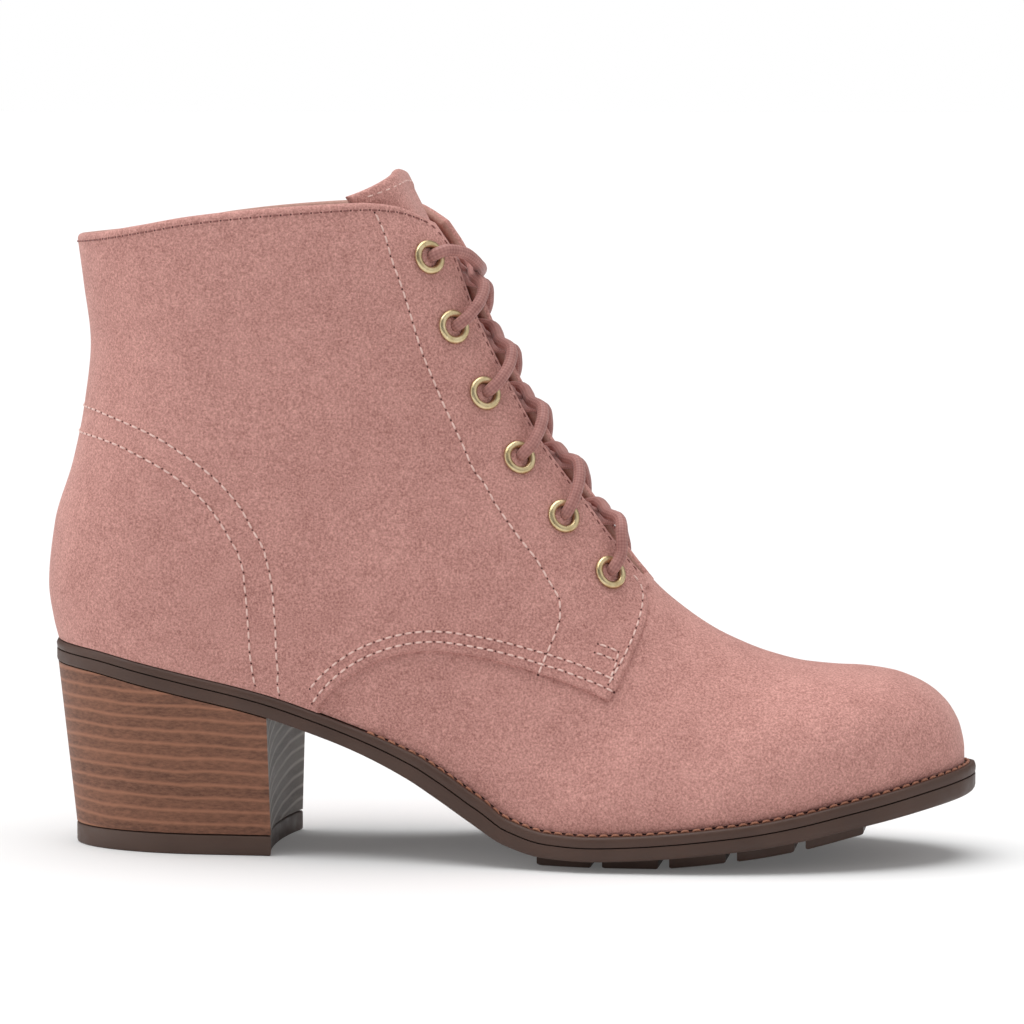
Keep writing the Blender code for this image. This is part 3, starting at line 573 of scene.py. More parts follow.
def place(lap, u, side):
    """A point of the surface by lap and even step: u below 0 goes over the ridge, above 1 round the back."""
    lap, u, side = np.broadcast_arrays(np.asarray(lap, float), np.asarray(u, float), np.asarray(side, float))
    over = (u < 0) | ((u > 1) & (lap < 1))
    u = np.abs(u)
    u = np.where(u > 1, np.where(lap < 1, 2 - u, 1.0), u)
    return surface(lap, bent(u), np.where(over, -side, side))


def unit(vectors):
    """Vectors brought to length 1."""
    return vectors / (np.linalg.norm(vectors, axis=-1, keepdims=True) + 1e-15)


def outward(lap, u, side):
    """The surface's outward normal, from small steps along the section and across it."""
    step = 0.004
    lap = np.minimum(lap, 1.9985)
    across = place(lap, u + step, side) - place(lap, u - step, side)
    down = place(np.minimum(lap + step, 2.0), u, side) - place(lap - step, u, side)
    return unit(np.cross(across, down) * -np.asarray(side, float)[..., None])


def folds(points):
    """How far the leather stands out or in: a bell across each crease, deepest halfway along it."""
    lift = np.zeros(points.shape[:-1])
    for x0, z0, x1, z1, width, height in CREASES:
        start = np.array([x0, z0]) / 1000
        run = np.array([x1 - x0, z1 - z0]) / 1000
        flat = points[..., [0, 2]] - start
        t = np.clip((flat @ run) / (run @ run), 0, 1)
        away = np.linalg.norm(flat - t[..., None] * run, axis=-1) * 1000 / width
        lift = lift + height / 1000 * np.exp(-away ** 2) * (0.25 + 3 * t * (1 - t))
    return lift


def lifted(lap, u, side, lift):
    """Points over the creased surface by a lift along the normal. The creases fade out at the sole."""
    side = np.broadcast_to(side, np.broadcast(lap, u).shape)
    base = place(lap, u, side)
    away = lift + folds(base) * np.clip((base[..., 2] - seat(base[..., 0])) / CREASE_FADE, 0, 1)
    return base + outward(lap, u, side) * away[..., None]


def find(x, z):
    """Lap and even step of points seen from the side."""
    laps = np.linspace(-0.3, 2, 1200)
    exit_x, exit_z = exit_point(laps)
    lap = np.interp(np.arctan2(FAN_Z - z, FAN_X - x), np.arctan2(FAN_Z - exit_z, FAN_X - exit_x), laps)
    exit_x, exit_z = exit_point(lap)
    angle = np.arctan2(FAN_Z - exit_z, FAN_X - exit_x)
    ridge_x = np.interp(angle, RIDGE_ANGLE[::-1], RIDGE_X[::-1])
    return lap, unbent((x - ridge_x) / (exit_x - ridge_x))


def steps_across(lap, y):
    """Even steps and sides of places at a distance y across from the middle plane, found by halving."""
    lap, y = np.broadcast_arrays(np.asarray(lap, float), np.asarray(y, float))
    side = np.where(y < 0, -1.0, 1.0)
    ridge = surface(lap, 0.0, side)[..., 1]
    low = np.zeros(lap.shape)
    high = smooth(SECTIONS, 3, lap)
    for _ in range(30):
        middle = (low + high) / 2
        short = np.abs(surface(lap, middle, side)[..., 1] - ridge) < np.abs(y)
        low = np.where(short, middle, low)
        high = np.where(short, high, middle)
    return unbent(np.maximum(low, 1e-9)), side


def lift_at(lap, y, lift):
    """Points at distances y across from the middle plane and a lift along the normal, and the normals."""
    u, side = steps_across(lap, y)
    lap = np.broadcast_to(np.asarray(lap, float), u.shape)
    normal = outward(lap, u, side)
    return place(lap, u, side) + normal * np.asarray(lift, float)[..., None], normal


def spline(points, steps):
    """A smooth curve through points, with steps pieces between each two."""
    points = np.asarray(points, float)
    ends = np.concatenate([2 * points[:1] - points[1:2], points, 2 * points[-1:] - points[-2:-1]])
    t = (np.arange(steps) / steps)[:, None]
    made = []
    for a, b, c, d in zip(ends[:-3], ends[1:-2], ends[2:-1], ends[3:]):
        made.append(b + 0.5 * t * (c - a + t * (2 * a - 5 * b + 4 * c - d + t * (3 * (b - c) + d - a))))
    made.append(points[-1:])
    return np.concatenate(made)


def length_along(points):
    """Distance of each point from the first, along the line."""
    return np.concatenate([[0], np.cumsum(np.linalg.norm(np.diff(points, axis=0), axis=1))])


def resampled(pitch, points, *others):
    """The same line at even steps of about the pitch, with other rows of values carried along."""
    run = length_along(points)
    at = np.linspace(0, run[-1], max(int(round(run[-1] / pitch)), 1) + 1)
    return [np.stack([np.interp(at, run, row[:, k]) for k in range(row.shape[1])], 1)
            for row in (points,) + others]


def cumulative(grid, axis):
    """Distance of each grid point from the grid's first row or column, along the grid."""
    step = np.linalg.norm(np.diff(grid, axis=axis), axis=-1)
    start = np.zeros_like(np.take(step, [0], axis=axis))
    return np.concatenate([start, np.cumsum(step, axis=axis)], axis=axis)


def edge_drop(distance, radius):
    """How far a rounded edge falls away at a distance from it: a quarter of a circle."""
    t = np.clip(1 - distance / radius, 0, 1)
    return radius * (1 - np.sqrt(np.clip(1 - t * t, 0, 1)))


def mesh_piece(name, points, faces, finishes, slots=None):
    """A smooth-shaded object from arrays. slots gives each face's material."""
    mesh = bpy.data.meshes.new(name)
    mesh.vertices.add(len(points))
    mesh.vertices.foreach_set("co", points.astype(np.float32).ravel())
    mesh.loops.add(faces.size)
    mesh.loops.foreach_set("vertex_index", faces.ravel().astype(np.int32))
    mesh.polygons.add(len(faces))
    mesh.polygons.foreach_set("loop_start", (np.arange(len(faces)) * 4).astype(np.int32))
    for material in finishes:
        mesh.materials.append(material)
    if slots is not None:
        mesh.polygons.foreach_set("material_index", slots.astype(np.int32))
    mesh.polygons.foreach_set("use_smooth", np.ones(len(faces), bool))
    mesh.update(calc_edges=True)
    mesh.validate()
    piece = bpy.data.objects.new(name, mesh)
    bpy.context.scene.collection.objects.link(piece)
    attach(piece, "root")
    return piece


def quads(rows, columns, first=0):
    """The faces of a grid of points, row after row."""
    i, j = np.meshgrid(np.arange(rows - 1), np.arange(columns - 1), indexing="ij")
    a = (first + i * columns + j).ravel()
    return np.stack([a, a + 1, a + columns + 1, a + columns], 1)


def rim_of(rows, columns):
    """The numbers of a grid's border points, once round."""
    index = np.arange(rows * columns).reshape(rows, columns)
    return np.concatenate([index[0, :-1], index[:-1, -1], index[-1, :0:-1], index[:0:-1, 0]])


def wall(low, up):
    """The faces between a loop of points and the same loop so many numbers up."""
    return np.stack([low, np.roll(low, -1), np.roll(low, -1) + up, low + up], 1)


def ring_faces(rings, sides, closed=False):
    """The faces between rings of points. Where closed, the last ring joins the first."""
    k, n = np.meshgrid(np.arange(rings - (not closed)), np.arange(sides), indexing="ij")
    after, above = (n + 1) % sides, (k + 1) % rings
    corners = [k * sides + n, k * sides + after, above * sides + after, above * sides + n]
    return np.stack(corners, -1).reshape(-1, 4)


def repeated(faces, size, count):
    """The faces of a piece of size points, for each of count such pieces."""
    return (faces[None] + size * np.arange(count)[:, None, None]).reshape(-1, 4)


def solid(name, layers, finishes, ends=(0, 0), smooth_angle=None):
    """A closed piece from grids laid one over another: the first and last filled, edges joined.

    ends gives the material of the first and of the last grid. The edge takes the first material.
    """
    rows, columns = layers[0].shape[:2]
    count = rows * columns
    rim = rim_of(rows, columns)
    faces = [quads(rows, columns)[:, ::-1], quads(rows, columns, count * (len(layers) - 1))]
    faces += [wall(rim + count * level, count) for level in range(len(layers) - 1)]
    kinds = list(ends) + [0] * (len(layers) - 1)
    slots = np.concatenate([np.full(len(part), kind) for part, kind in zip(faces, kinds)])
    points = np.concatenate([layer.reshape(-1, 3) for layer in layers])
    piece = mesh_piece(name, points, np.concatenate(faces), finishes, slots)
    work = bmesh.new()
    work.from_mesh(piece.data)
    bmesh.ops.remove_doubles(work, verts=work.verts, dist=2e-6)
    bmesh.ops.recalc_face_normals(work, faces=work.faces)
    work.to_mesh(piece.data)
    work.free()
    if smooth_angle:
        piece.data.set_sharp_from_angle(angle=np.radians(smooth_angle))
    return piece


def collar_lap(share):
    """The lap at which the upper ends at the collar, by share round the section."""
    extra = (COLLAR_FRONT - COLLAR_BACK) / (COLLAR_BACK - HEEL_SEAT)
    return -smooth(COLLAR, 1, share) * extra / (0.61 + 0.39 * share)


def quarter_end():
    """Rows of share and lap along the quarter's edge, in front of its corner and behind it."""
    edge = np.array([((share - 0.5) * LENGTH, height * COLLAR_FRONT) for share, height in QUARTER_EDGE[1:]])
    lap, u = find(edge[:, 0], edge[:, 1])
    rows = [(float(share), float(value)) for share, value in zip(bent(u), lap)]
    front = [(0.0, rows[0][1])] + rows[:CORNER_ROW + 1]
    lower = [row for row in rows[CORNER_ROW:] if row[0] < 0.995]
    return front, lower + [(1.0, rows[-2][1] + 0.006)]


QUARTER_FRONT, QUARTER_LOW = quarter_end()


def last_lap(share):
    """The lap at which the quarter ends, by share."""
    front = share < QUARTER_LOW[0][0]
    return np.where(front, smooth(QUARTER_FRONT, 1, share), smooth(QUARTER_LOW, 1, share))


def throat_u(lap, side):
    """The even step at which the facing ends at the throat."""
    return float(unbent(share_at(lap, throat_half(lap), side)))


def quarter(side, finishes):
    """One quarter with its facing, a closed sheet with its lining inside.

    Rows run from the collar to the edge on the vamp, columns from the throat round to the back. Each edge is
    rounded by a quarter circle, and a low roll runs along the throat.
    """
    close = EDGE_STEPS / QUARTER_TALL
    down = np.linspace(close[-1] * 1.6, 1 - close[-1] * 1.6, QUARTER_ROWS)
    down = np.concatenate([close, down, 1 - close[::-1]])
    first = float(collar_lap(0.03))
    start = np.array([throat_u(lap, side) for lap in first + (QUARTER_FRONT[1][1] - first) * down])
    split = (unbent(QUARTER_LOW[0][0]) - start[-1]) / (1 - start[-1])
    across = np.concatenate([EDGE_STEPS / QUARTER_WIDE, np.linspace(0.022, split, FACING_COLUMNS),
                             np.linspace(split, 1, BACK_COLUMNS)[1:]])
    u = start[:, None] + (1 - start[:, None]) * across[None]
    share = bent(u)
    top = collar_lap(share)
    lap = top + (last_lap(share) - top) * down[:, None]
    base = place(lap, u, side)
    from_throat = cumulative(base, 1)
    thick = (WALL + OVERLAY) / 2
    seam = np.maximum(edge_drop(from_throat, thick), edge_drop(cumulative(base, 0), thick))
    drop = np.maximum(seam, edge_drop(cumulative(base[::-1], 0)[::-1], OVERLAY * 0.95))
    roll = THROAT_ROLL * np.sin(np.clip(from_throat / THROAT_ROLL_WIDE, 0, 1) * np.pi)
    outer = lifted(lap, u, side, OVERLAY - drop + roll)
    inner = lifted(lap, u, side, seam - WALL)
    last = across[None] >= 1 - 1e-9
    for skin in (outer, inner):
        skin[..., 2] = np.where(last & (lap >= 1), seat(skin[..., 0]), skin[..., 2])
        skin[..., 1] = np.where(last & (lap < 1), 0.0, skin[..., 1])
    word = "lateral" if side < 0 else "medial"
    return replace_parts(solid(f"quarter_{word}", [inner, outer], finishes, ends=(1, 0)), "upper")


def vamp(finishes):
    """The vamp from under the quarters to the toe, a closed sheet with its lining inside.

    Columns run from the lateral seam over the ridge to the medial one, and rows close up towards the toe.
    """
    signed = np.linspace(-1, 1, VAMP_COLUMNS)
    t = np.clip((bent(np.abs(signed)) - 0.30) / 0.35, 0, 1)
    start = THROAT_LAP + 0.004 - 0.17 * t * t * (3 - 2 * t)
    down = np.concatenate([[0, 0.0008, 0.002, 0.004], np.linspace(0.008, 1, VAMP_ROWS)])
    lap = 2 - (2 - start[None]) * ((1 - down) ** 1.7)[:, None]
    u = np.broadcast_to(np.abs(signed), lap.shape)
    side = np.broadcast_to(np.where(signed < 0, -1.0, 1.0), lap.shape)
    drop = edge_drop(cumulative(place(lap, u, side), 0), WALL / 2)
    outer = lifted(lap, u, side, -drop)
    inner = lifted(lap, u, side, -WALL - 0.0001 + drop)
    for skin in (outer, inner):
        for column in (0, -1):
            skin[:, column, 2] = seat(skin[:, column, 0])
        skin[-1] = skin[-1, VAMP_COLUMNS // 2]
    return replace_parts(solid("vamp", [inner, outer], finishes, ends=(1, 0)), "upper")


def strand_steps(low, high, side, inside):
    """One strand from an eyelet over the facing, across the throat and under the other one.

    Each step holds a share of the way up to the next eyelets, a distance across and a lift.
    """
    edge = throat_half((low[0] + high[0]) / 2)
    over = -side * LACE_RADIUS
    middle = -(WALL + TONGUE_SEAT + THROAT_SAG) + 2 * LACE_RADIUS + 0.0002
    bow = LACE_BOW if side < 0 else 0.0
    return [
        (0.00, low[1] - 0.0014, inside),
        (0.00, low[1] - 0.0006, -0.0004),
        (0.03, low[1] - 0.0010, OVERLAY + 0.0014),
        (0.12, low[1] - 0.0030, OVERLAY + 0.0019 + 0.4 * bow),
        (0.30, edge + 0.0020, OVERLAY + 0.0017 + 0.9 * bow),
        (0.50, edge - 0.0008, OVERLAY + 0.0010 + bow),
        (0.67, 0.60 * edge, middle + over * 0.95 + 0.0004 + 0.35 * bow),
        (0.79, 0.08 * edge, middle + over * 0.97),
        (0.90, -0.45 * edge, middle + over * 0.80 - 0.0004),
        (0.97, -edge + 0.0020, inside + 0.0013),
        (1.00, -edge - 0.0014, inside),
        (1.00, -high[1] + 0.0030, inside),
    ]


def lace_route(places):
    """The lace from the top of one side down, across under the last eyelets, up and over at the top."""
    inside = -(WALL + LACE_RADIUS + 0.0003)
    strands = []
    for side in (-1, 1):
        points = []
        for number in range(EYELETS - 1, 0, -1):
            low, high = places[number], places[number - 1]
            for share, y, lift in strand_steps(low, high, side, inside):
                points.append((low[0] + (high[0] - low[0]) * share, side * y, lift))
            side = -side
        strands.append((points, side))
    lap, out = places[-1]
    low_bar = [(lap + 0.012, y, inside - 0.0012 * (1 - (y / out) ** 2))
               for y in np.linspace(-1, 1, 7)[1:-1] * (out - 0.003)]
    lap, out = places[0]
    edge = throat_half(lap)
    bar = [
        # further down the throat, across, lift: out of the lateral eyelet and into the medial one
        (0.000, -out + 0.0014, inside),
        (0.000, -out + 0.0006, -0.0004),
        (-0.008, -out + 0.0012, OVERLAY + 0.0016),
        (-0.012, -out + 0.0034, OVERLAY + 0.0030),
        (0.008, -edge - 0.0010, OVERLAY + 0.0036),
        (0.050, -0.70 * edge, OVERLAY + 0.0028),
        (0.072, 0.0, OVERLAY - 0.0002),
        (0.075, 0.40 * edge, OVERLAY - 0.0002),
        (0.068, 0.95 * edge, OVERLAY + 0.0014),
        (0.046, edge + 0.0025, OVERLAY + 0.0017),
        (0.016, out - 0.0016, OVERLAY + 0.0016),
        (0.000, out - 0.0004, -0.0004),
        (0.000, out + 0.0002, -0.0030),
    ]
    bar = [(lap + step, y, lift) for step, y, lift in bar]
    (first, end), (last, other_end) = strands
    if end > 0:
        bar.reverse()
    last = last + [(lap, other_end * (out - 0.002), inside)]
    route = np.array(last[::-1] + low_bar[::-1] + first + bar)
    return lift_at(route[:, 0], route[:, 1], route[:, 2])[0]


def lace(path, material):
    """A round cord along the path with rounded ends: rings that turn as little as they can."""
    run = unit(np.gradient(path, axis=0))
    turn = 2 * np.pi * np.arange(LACE_SIDES) / LACE_SIDES
    normal = np.cross(run[0], [0.0, 0.0, 1.0])
    frames = []
    for direction in run:
        normal = normal - direction * (normal @ direction)
        normal = normal / np.linalg.norm(normal)
        frames.append(normal)
    first = np.array(frames)
    second = np.cross(run, first)
    at = length_along(path)
    from_end = np.minimum(at, at[-1] - at)
    end = np.clip(1 - from_end / LACE_RADIUS, 0, 1)
    size = LACE_RADIUS * np.sqrt(np.clip(1 - end ** 2, 0.0025, 1))
    spin = np.cos(turn)[None, :, None] * first[:, None] + np.sin(turn)[None, :, None] * second[:, None]
    rings = path[:, None] + size[:, None, None] * spin
    faces = ring_faces(len(path), LACE_SIDES)
    piece = mesh_piece("lace", rings.reshape(-1, 3), faces, [material])
    k, n = np.meshgrid(np.arange(len(path) - 1), np.arange(LACE_SIDES), indexing="ij")
    around = np.stack([n, n + 1, n + 1, n], -1) / LACE_SIDES
    length = np.stack([at[k], at[k], at[k + 1], at[k + 1]], -1)
    layer = piece.data.uv_layers.new(name="cord")
    layer.data.foreach_set("uv", np.stack([around, length], -1).astype(np.float32).ravel())
    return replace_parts(piece, "lace_top_bar", *[f"lace_crossing_{n + 1}" for n in range(EYELETS - 1)])


def eyelets(places, finishes):
    """All the eyelets as turned rings, each a profile round its axis: a rolled flange and a tube.

    The first finish is the flange's. The second, a painted shade, covers the tube: the hole's wall, its foot
    and its outside.
    """
    turn = 2 * np.pi * np.arange(EYELET_SIDES) / EYELET_SIDES
    middle = (EYELET_BORE + EYELET_FLANGE) / 2
    width = (EYELET_FLANGE - EYELET_BORE) / 2
    low = -(OVERLAY + EYELET_SEAT + WALL * 0.9)
    outside = EYELET_BORE + EYELET_TUBE
    profile = [(outside, low), (outside, -0.0001), (EYELET_FLANGE * 0.98, -0.0001)]
    for a in np.linspace(0, np.pi, 9):
        profile.append((middle + width * np.cos(a), EYELET_RIM * (0.10 + 1.05 * np.sin(a) ** 0.8)))
    profile.append((EYELET_BORE, low))
    rows = len(profile)
    radius, height = np.array(profile).T[:, None, :, None, None]
    laps = np.array([lap for lap, out in places for side in (-1, 1)])
    y = np.array([side * out for lap, out in places for side in (-1, 1)])
    centre, axis = lift_at(laps, y, np.full(laps.shape, OVERLAY + EYELET_SEAT * 0.4))
    first = unit(np.cross(axis, [0.0, 0.0, 1.0]))
    second = np.cross(axis, first)
    spin = np.cos(turn)[:, None] * first[:, None, None] + np.sin(turn)[:, None] * second[:, None, None]
    grid = centre[:, None, None] + height * axis[:, None, None] + radius * spin
    faces = ring_faces(rows, EYELET_SIDES, closed=True)[:, [0, 3, 2, 1]]
    faces = repeated(faces, rows * EYELET_SIDES, len(laps))
    row = np.tile(np.repeat(np.arange(rows), EYELET_SIDES), len(laps))
    # The tube's faces, in the hole and round it, take the painted shade of the hole
    tube_shade = (row >= rows - 2) | (row == 0)
    piece = mesh_piece("eyelets", grid.reshape(-1, 3), faces, finishes, tube_shade)
    names = [f"eyelet_{word}_{n + 1}" for n in range(EYELETS) for word in ("lateral", "medial")]
    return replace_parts(piece, *names)


def tongue_place(lap, share):
    """Lap and distance across of a place on the tongue, share from -1 to 1 across it."""
    down = np.clip((lap - TONGUE_LAP) / (THROAT_LAP - TONGUE_LAP), 0, 1)
    half = TONGUE_TOP_HALF + (TONGUE_HALF - TONGUE_TOP_HALF) * down
    corner = TONGUE_CORNER / (COLLAR_BACK - HEEL_SEAT) * np.abs(share) ** 1.75 * (1 - down) ** 8
    return lap + corner, half * share


def tongue(path, finishes):
    """The tongue behind the throat: a sheet pressed in under the lace, with a folded hem.

    The press is the depth by which a trough along each part of the lace reaches below the sheet.
    """
    close = np.array([0, 0.002, 0.005, 0.009, 0.014, 0.020])
    even = np.linspace(TONGUE_LAP + 0.030, THROAT_LAP + 0.06, TONGUE_ROWS)
    laps = np.concatenate([TONGUE_LAP + close, even])
    close = np.array([0, 0.006, 0.015, 0.030, 0.050])
    shares = np.concatenate([-1 + close, np.linspace(-0.93, 0.93, TONGUE_COLUMNS), (1 - close)[::-1]])
    at, y = tongue_place(laps[:, None], shares[None])
    base, normals = lift_at(at, y, 0.0)
    lift = -(WALL + TONGUE_SEAT) - throat_sag(at, y)
    skin = base + normals * lift[..., None]
    push = np.zeros(lift.shape)
    for point in path[::3]:
        gap = skin - point
        rise = (gap * normals).sum(-1)
        aside = np.linalg.norm(gap - rise[..., None] * normals, axis=-1) / LACE_RADIUS
        limit = LACE_RADIUS * (-1.06 + 0.42 * aside ** 2)
        push = np.maximum(push, np.where(aside < 3, rise - limit, 0))
    push = np.clip(push, 0, TONGUE_PRESS)
    edge = np.minimum(cumulative(base, 1), cumulative(base[:, ::-1], 1)[:, ::-1])
    edge = np.minimum(edge, cumulative(base, 0))
    drop = edge_drop(edge, TONGUE / 2)
    hem = TONGUE_HEM * np.clip((TONGUE_HEM_WIDE - edge) / 0.0006, 0, 1)
    outer = base + normals * (lift - push - drop + hem)[..., None]
    inner = base + normals * (lift - push - TONGUE + drop)[..., None]
    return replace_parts(solid("tongue_dressed", [inner, outer], finishes, ends=(1, 0)), "tongue")


def inset(by):
    """The welt's outline drawn in by a length."""
    return lambda x: welt_margin(x) - by


def above(level, by):
    """A level of the sole raised by a thickness measured across the sole."""
    return lambda x, y: level(x) + by * slant(x)


def chamfer(back, up, more=0.0):
    """A row of the outsole's lower edge, back and up by shares of its bevel."""
    return (lambda x: welt_margin(x) - back * bevel(x) - more, lambda x, y: outsole_low(x, y) + up * bevel(x))


def sole_solid(name, rows, material, replaced):
    """A sole-shaped piece from rows, each with how far its edge lies out and its height."""
    layers = [sole_grid(margin, height, SOLE_STATIONS, SOLE_COLUMNS) for margin, height in rows]
    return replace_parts(solid(name, layers, [material]), replaced)


def outsole(material):
    """The outsole, its lower edge chamfered and its upper edge a fine line under the welt."""
    rows = [chamfer(1.00, 0.00, 0.0008), chamfer(1.00, 0.04), chamfer(0.45, 0.34), chamfer(0.10, 0.80),
            chamfer(0.00, 1.50, -0.00005)]
    for by, up in ((-0.00005, -0.0002), (-0.00002, -0.00006), (0.00005, -0.00001), (0.0010, 0.0)):
        rows.append((inset(by), above(outsole_top, up)))
    return sole_solid("outsole_dressed", rows, material, "outsole")


def welt(material):
    """The welt, slightly crowned at its edge and rounded on top."""
    rows = []
    for by, up in ((0.00012, 0.0), (0.00005, 0.00002), (0.0, 0.00015)):
        rows.append((inset(by), above(welt_low, up)))
    rows.append((inset(-0.00015), lambda x, y: (welt_low(x) + welt_top(x)) / 2))
    for by, up in ((0.00002, -0.0007), (0.00025, -0.0002), (0.0007, 0.0)):
        rows.append((inset(by), above(welt_top, up)))
    rows.append((inset(0.0012), lambda x, y: welt_top(x) - 0.00004))
    return sole_solid("welt_dressed", rows, material, "welt")


def insole(material):
    """The insole inside the upper's wall, its upper edge rounded."""
    rows = []
    for by, up in ((0.0, 0.0), (0.0, INSOLE - 0.0006), (0.0003, INSOLE - 0.0001), (0.0012, INSOLE)):
        rows.append((lambda x, by=by: np.full_like(x, -(WALL + 3 * GAP + by)), above(seat, up)))
    return sole_solid("insole_dressed", rows, material, "insole")


def tread(material):
    """The forefoot's tread pads as blocks with softened edges, in one piece."""
    lateral, medial = sole_edges(lambda x: low_margin(x) - TREAD_INSET, 200)
    share = np.linspace(0, 1, 24)
    points, faces = [], []
    for number in range(TREAD_PADS):
        start = TREAD_BACK + number * TREAD_PITCH
        x = np.linspace(start, start + TREAD_PITCH - TREAD_GROOVE, 16)
        near = np.interp(x, lateral[:, 0], lateral[:, 1])[:, None]
        wide = np.interp(x, medial[:, 0], medial[:, 1])[:, None] - near
        y = near + wide * share
        grid = np.broadcast_to(x[:, None], y.shape)
        layers = [np.stack([grid, y, underside(grid) + 0.0015], -1)]
        for by, up in ((0.0, 0.0006), (0.0001, 0.0003), (0.0006, 0.0)):
            small_x = x[0] + by + (grid - x[0]) * (1 - 2 * by / (x[-1] - x[0]))
            layers.append(np.stack([small_x, y * (1 - 2 * by / wide), tread_low(small_x) + up], -1))
        size = y.size
        base = 4 * size * number
        points += [layer.reshape(-1, 3) for layer in layers]
        faces.append(quads(*y.shape, base + 3 * size)[:, ::-1])
        faces += [wall(base + size * level + rim_of(*y.shape), size)[:, ::-1] for level in range(3)]
    points, faces = np.concatenate(points), np.concatenate(faces)
    piece = mesh_piece("tread_dressed", points, faces, [material])
    piece.data.set_sharp_from_angle(angle=np.radians(40))
    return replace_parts(piece, "outsole")


def heel_grid(level, height, by=0.0):
    """The heel's plan at a level from 0, at the floor, to 1, under the outsole, drawn in by a length."""
    lateral, medial = sole_edges(low_margin, 400)
    x = HEEL_BACK + (BREAST - HEEL_BACK) * (1 - np.cos(np.pi / 2 * np.arange(61) / 60))
    near = np.interp(x, lateral[:200, 0], lateral[:200, 1])
    far = np.interp(x, medial[:200, 0], medial[:200, 1])
    near[0] = far[0] = (near[0] + far[0]) / 2
    share = np.linspace(0, 1, 25)
    hollow = HEEL_HOLLOW * (1 - (2 * share - 1) ** 2) / HEEL_LENGTH
    width = HEEL_TAPER + (1 - HEEL_TAPER) * level
    lean = HEEL_LEAN + (1 - HEEL_LEAN) * level
    grid_x = BREAST + (x[:, None] - BREAST) * lean - hollow * (x[:, None] - HEEL_BACK)
    grid_y = (near[:, None] + (far - near)[:, None] * share) * width
    grid_x = grid_x - by * (grid_x - (BREAST + HEEL_BACK) / 2) / (HEEL_LENGTH / 2)
    grid_y = grid_y * (1 - by / 0.025)
    return np.stack([grid_x, grid_y, height(grid_x)], -1)


def heel_stack(finishes):
    """The block heel, its faces that look ahead at the breast in the second material."""
    low = TOP_PIECE + GAP
    layers = []
    for level in np.linspace(0, 1, 30):
        layers.append(heel_grid(level, lambda x: low + (underside(x) - GAP - low) * level))
    piece = solid("heel_dressed", layers, finishes, smooth_angle=50)
    faces = piece.data.polygons
    ahead, centre = np.empty((2, 3 * len(faces)), np.float32)
    faces.foreach_get("normal", ahead)
    faces.foreach_get("center", centre)
    breast = (ahead[::3] > 0.8) & (centre[::3] > HEEL_BACK + 0.6 * HEEL_LENGTH)
    faces.foreach_set("material_index", breast.astype(np.int32))
    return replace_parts(piece, "heel_stack")


def top_piece(material):
    """The rubber lift under the heel, with softened edges."""
    levels = [(0.0006, 0.0), (0.0002, 0.00015), (0.0, 0.0006), (0.0, TOP_PIECE - 0.0005),
              (0.0002, TOP_PIECE - 0.0001), (0.0006, TOP_PIECE)]
    layers = [heel_grid(0.0, lambda x: np.full_like(x, z), by) for by, z in levels]
    piece = solid("top_piece_dressed", layers, [material], smooth_angle=60)
    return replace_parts(piece, "top_piece")


def stitches(name, rows, radius, gap, material):
    """Threads and needle holes along rows of places and normals, joined in two pieces.

    Each stitch is a rod from hole to hole, arched a little and sunk at its ends. Each hole is a low cone in a
    painted shade, dark for the shade inside the needle's hole.
    """
    t = np.linspace(-1, 1, THREAD_RINGS)
    turn = 2 * np.pi * np.arange(THREAD_SIDES) / THREAD_SIDES
    spin = 2 * np.pi * np.arange(HOLE_SIDES) / HOLE_SIDES
    size = radius * np.sqrt(np.clip(1 - np.abs(t) ** 5, 0.02, 1))
    arch = radius * (0.55 - np.abs(t) ** 3)
    threads, holes = [], []
    for places, normals in rows:
        a, b = places[:-1], places[1:]
        run = unit(b - a)[:, None]
        up = unit(normals[:-1] + normals[1:])[:, None]
        side = unit(np.cross(run, up))
        half = (np.linalg.norm(b - a, axis=1) / 2 - gap / 2)[:, None, None]
        line = ((a + b) / 2)[:, None] + run * t[:, None] * half + up * arch[:, None]
        ring = np.cos(turn)[:, None] * side + np.sin(turn)[:, None] * up
        threads.append(line[:, :, None] + ring[:, None] * size[:, None, None])
        across = unit(np.cross(normals, [0.3, 0.5, 0.8]))
        beyond = np.cross(normals, across)
        disc = np.cos(spin)[:, None] * across[:, None] + np.sin(spin)[:, None] * beyond[:, None]
        disc = disc * radius * NEEDLE
        low = places[:, None] + disc - normals[:, None] * radius * 0.3
        high = places[:, None] + disc * 0.55 + normals[:, None] * radius * 0.22
        holes.append(np.stack([low, high], 1))
    threads = np.concatenate(threads)
    faces = repeated(ring_faces(THREAD_RINGS, THREAD_SIDES), THREAD_RINGS * THREAD_SIDES, len(threads))
    mesh_piece(name, threads.reshape(-1, 3), faces, [material])
    holes = np.concatenate(holes)
    # three faces close the upper ring
    lid = HOLE_SIDES + np.array([[0, 1, 2, 7], [7, 2, 3, 6], [6, 3, 4, 5]])
    faces = repeated(np.concatenate([ring_faces(2, HOLE_SIDES), lid]), 2 * HOLE_SIDES, len(holes))
    # The cones take the painted shade of the needle holes
    mesh_piece(name + "_holes", holes.reshape(-1, 3), faces, [HOLE_SHADE])


def seam_row(lap, u, side, pitch):
    """A row of places and normals on the quarter, along a line given by lap and even step."""
    points = lifted(lap, u, side, np.full(lap.shape, OVERLAY))
    return resampled(pitch, points, outward(lap, u, np.full(lap.shape, side)))


def side_row(table, side, pitch):
    """A row through places seen from the side, in millimetres."""
    table = np.array(table, float) / 1000
    lap, u = find(table[:, 0], table[:, 1])
    line = spline(np.stack([lap, u], 1), 24)
    return seam_row(line[:, 0], np.clip(line[:, 1], 0, 1), side, pitch)


def beside(line, distance):
    """A line seen from the side moved to its left by a distance in millimetres."""
    line = spline(np.array(line, float), 6)
    run = unit(np.gradient(line, axis=0))
    return line + distance * np.stack([-run[:, 1], run[:, 0]], 1)


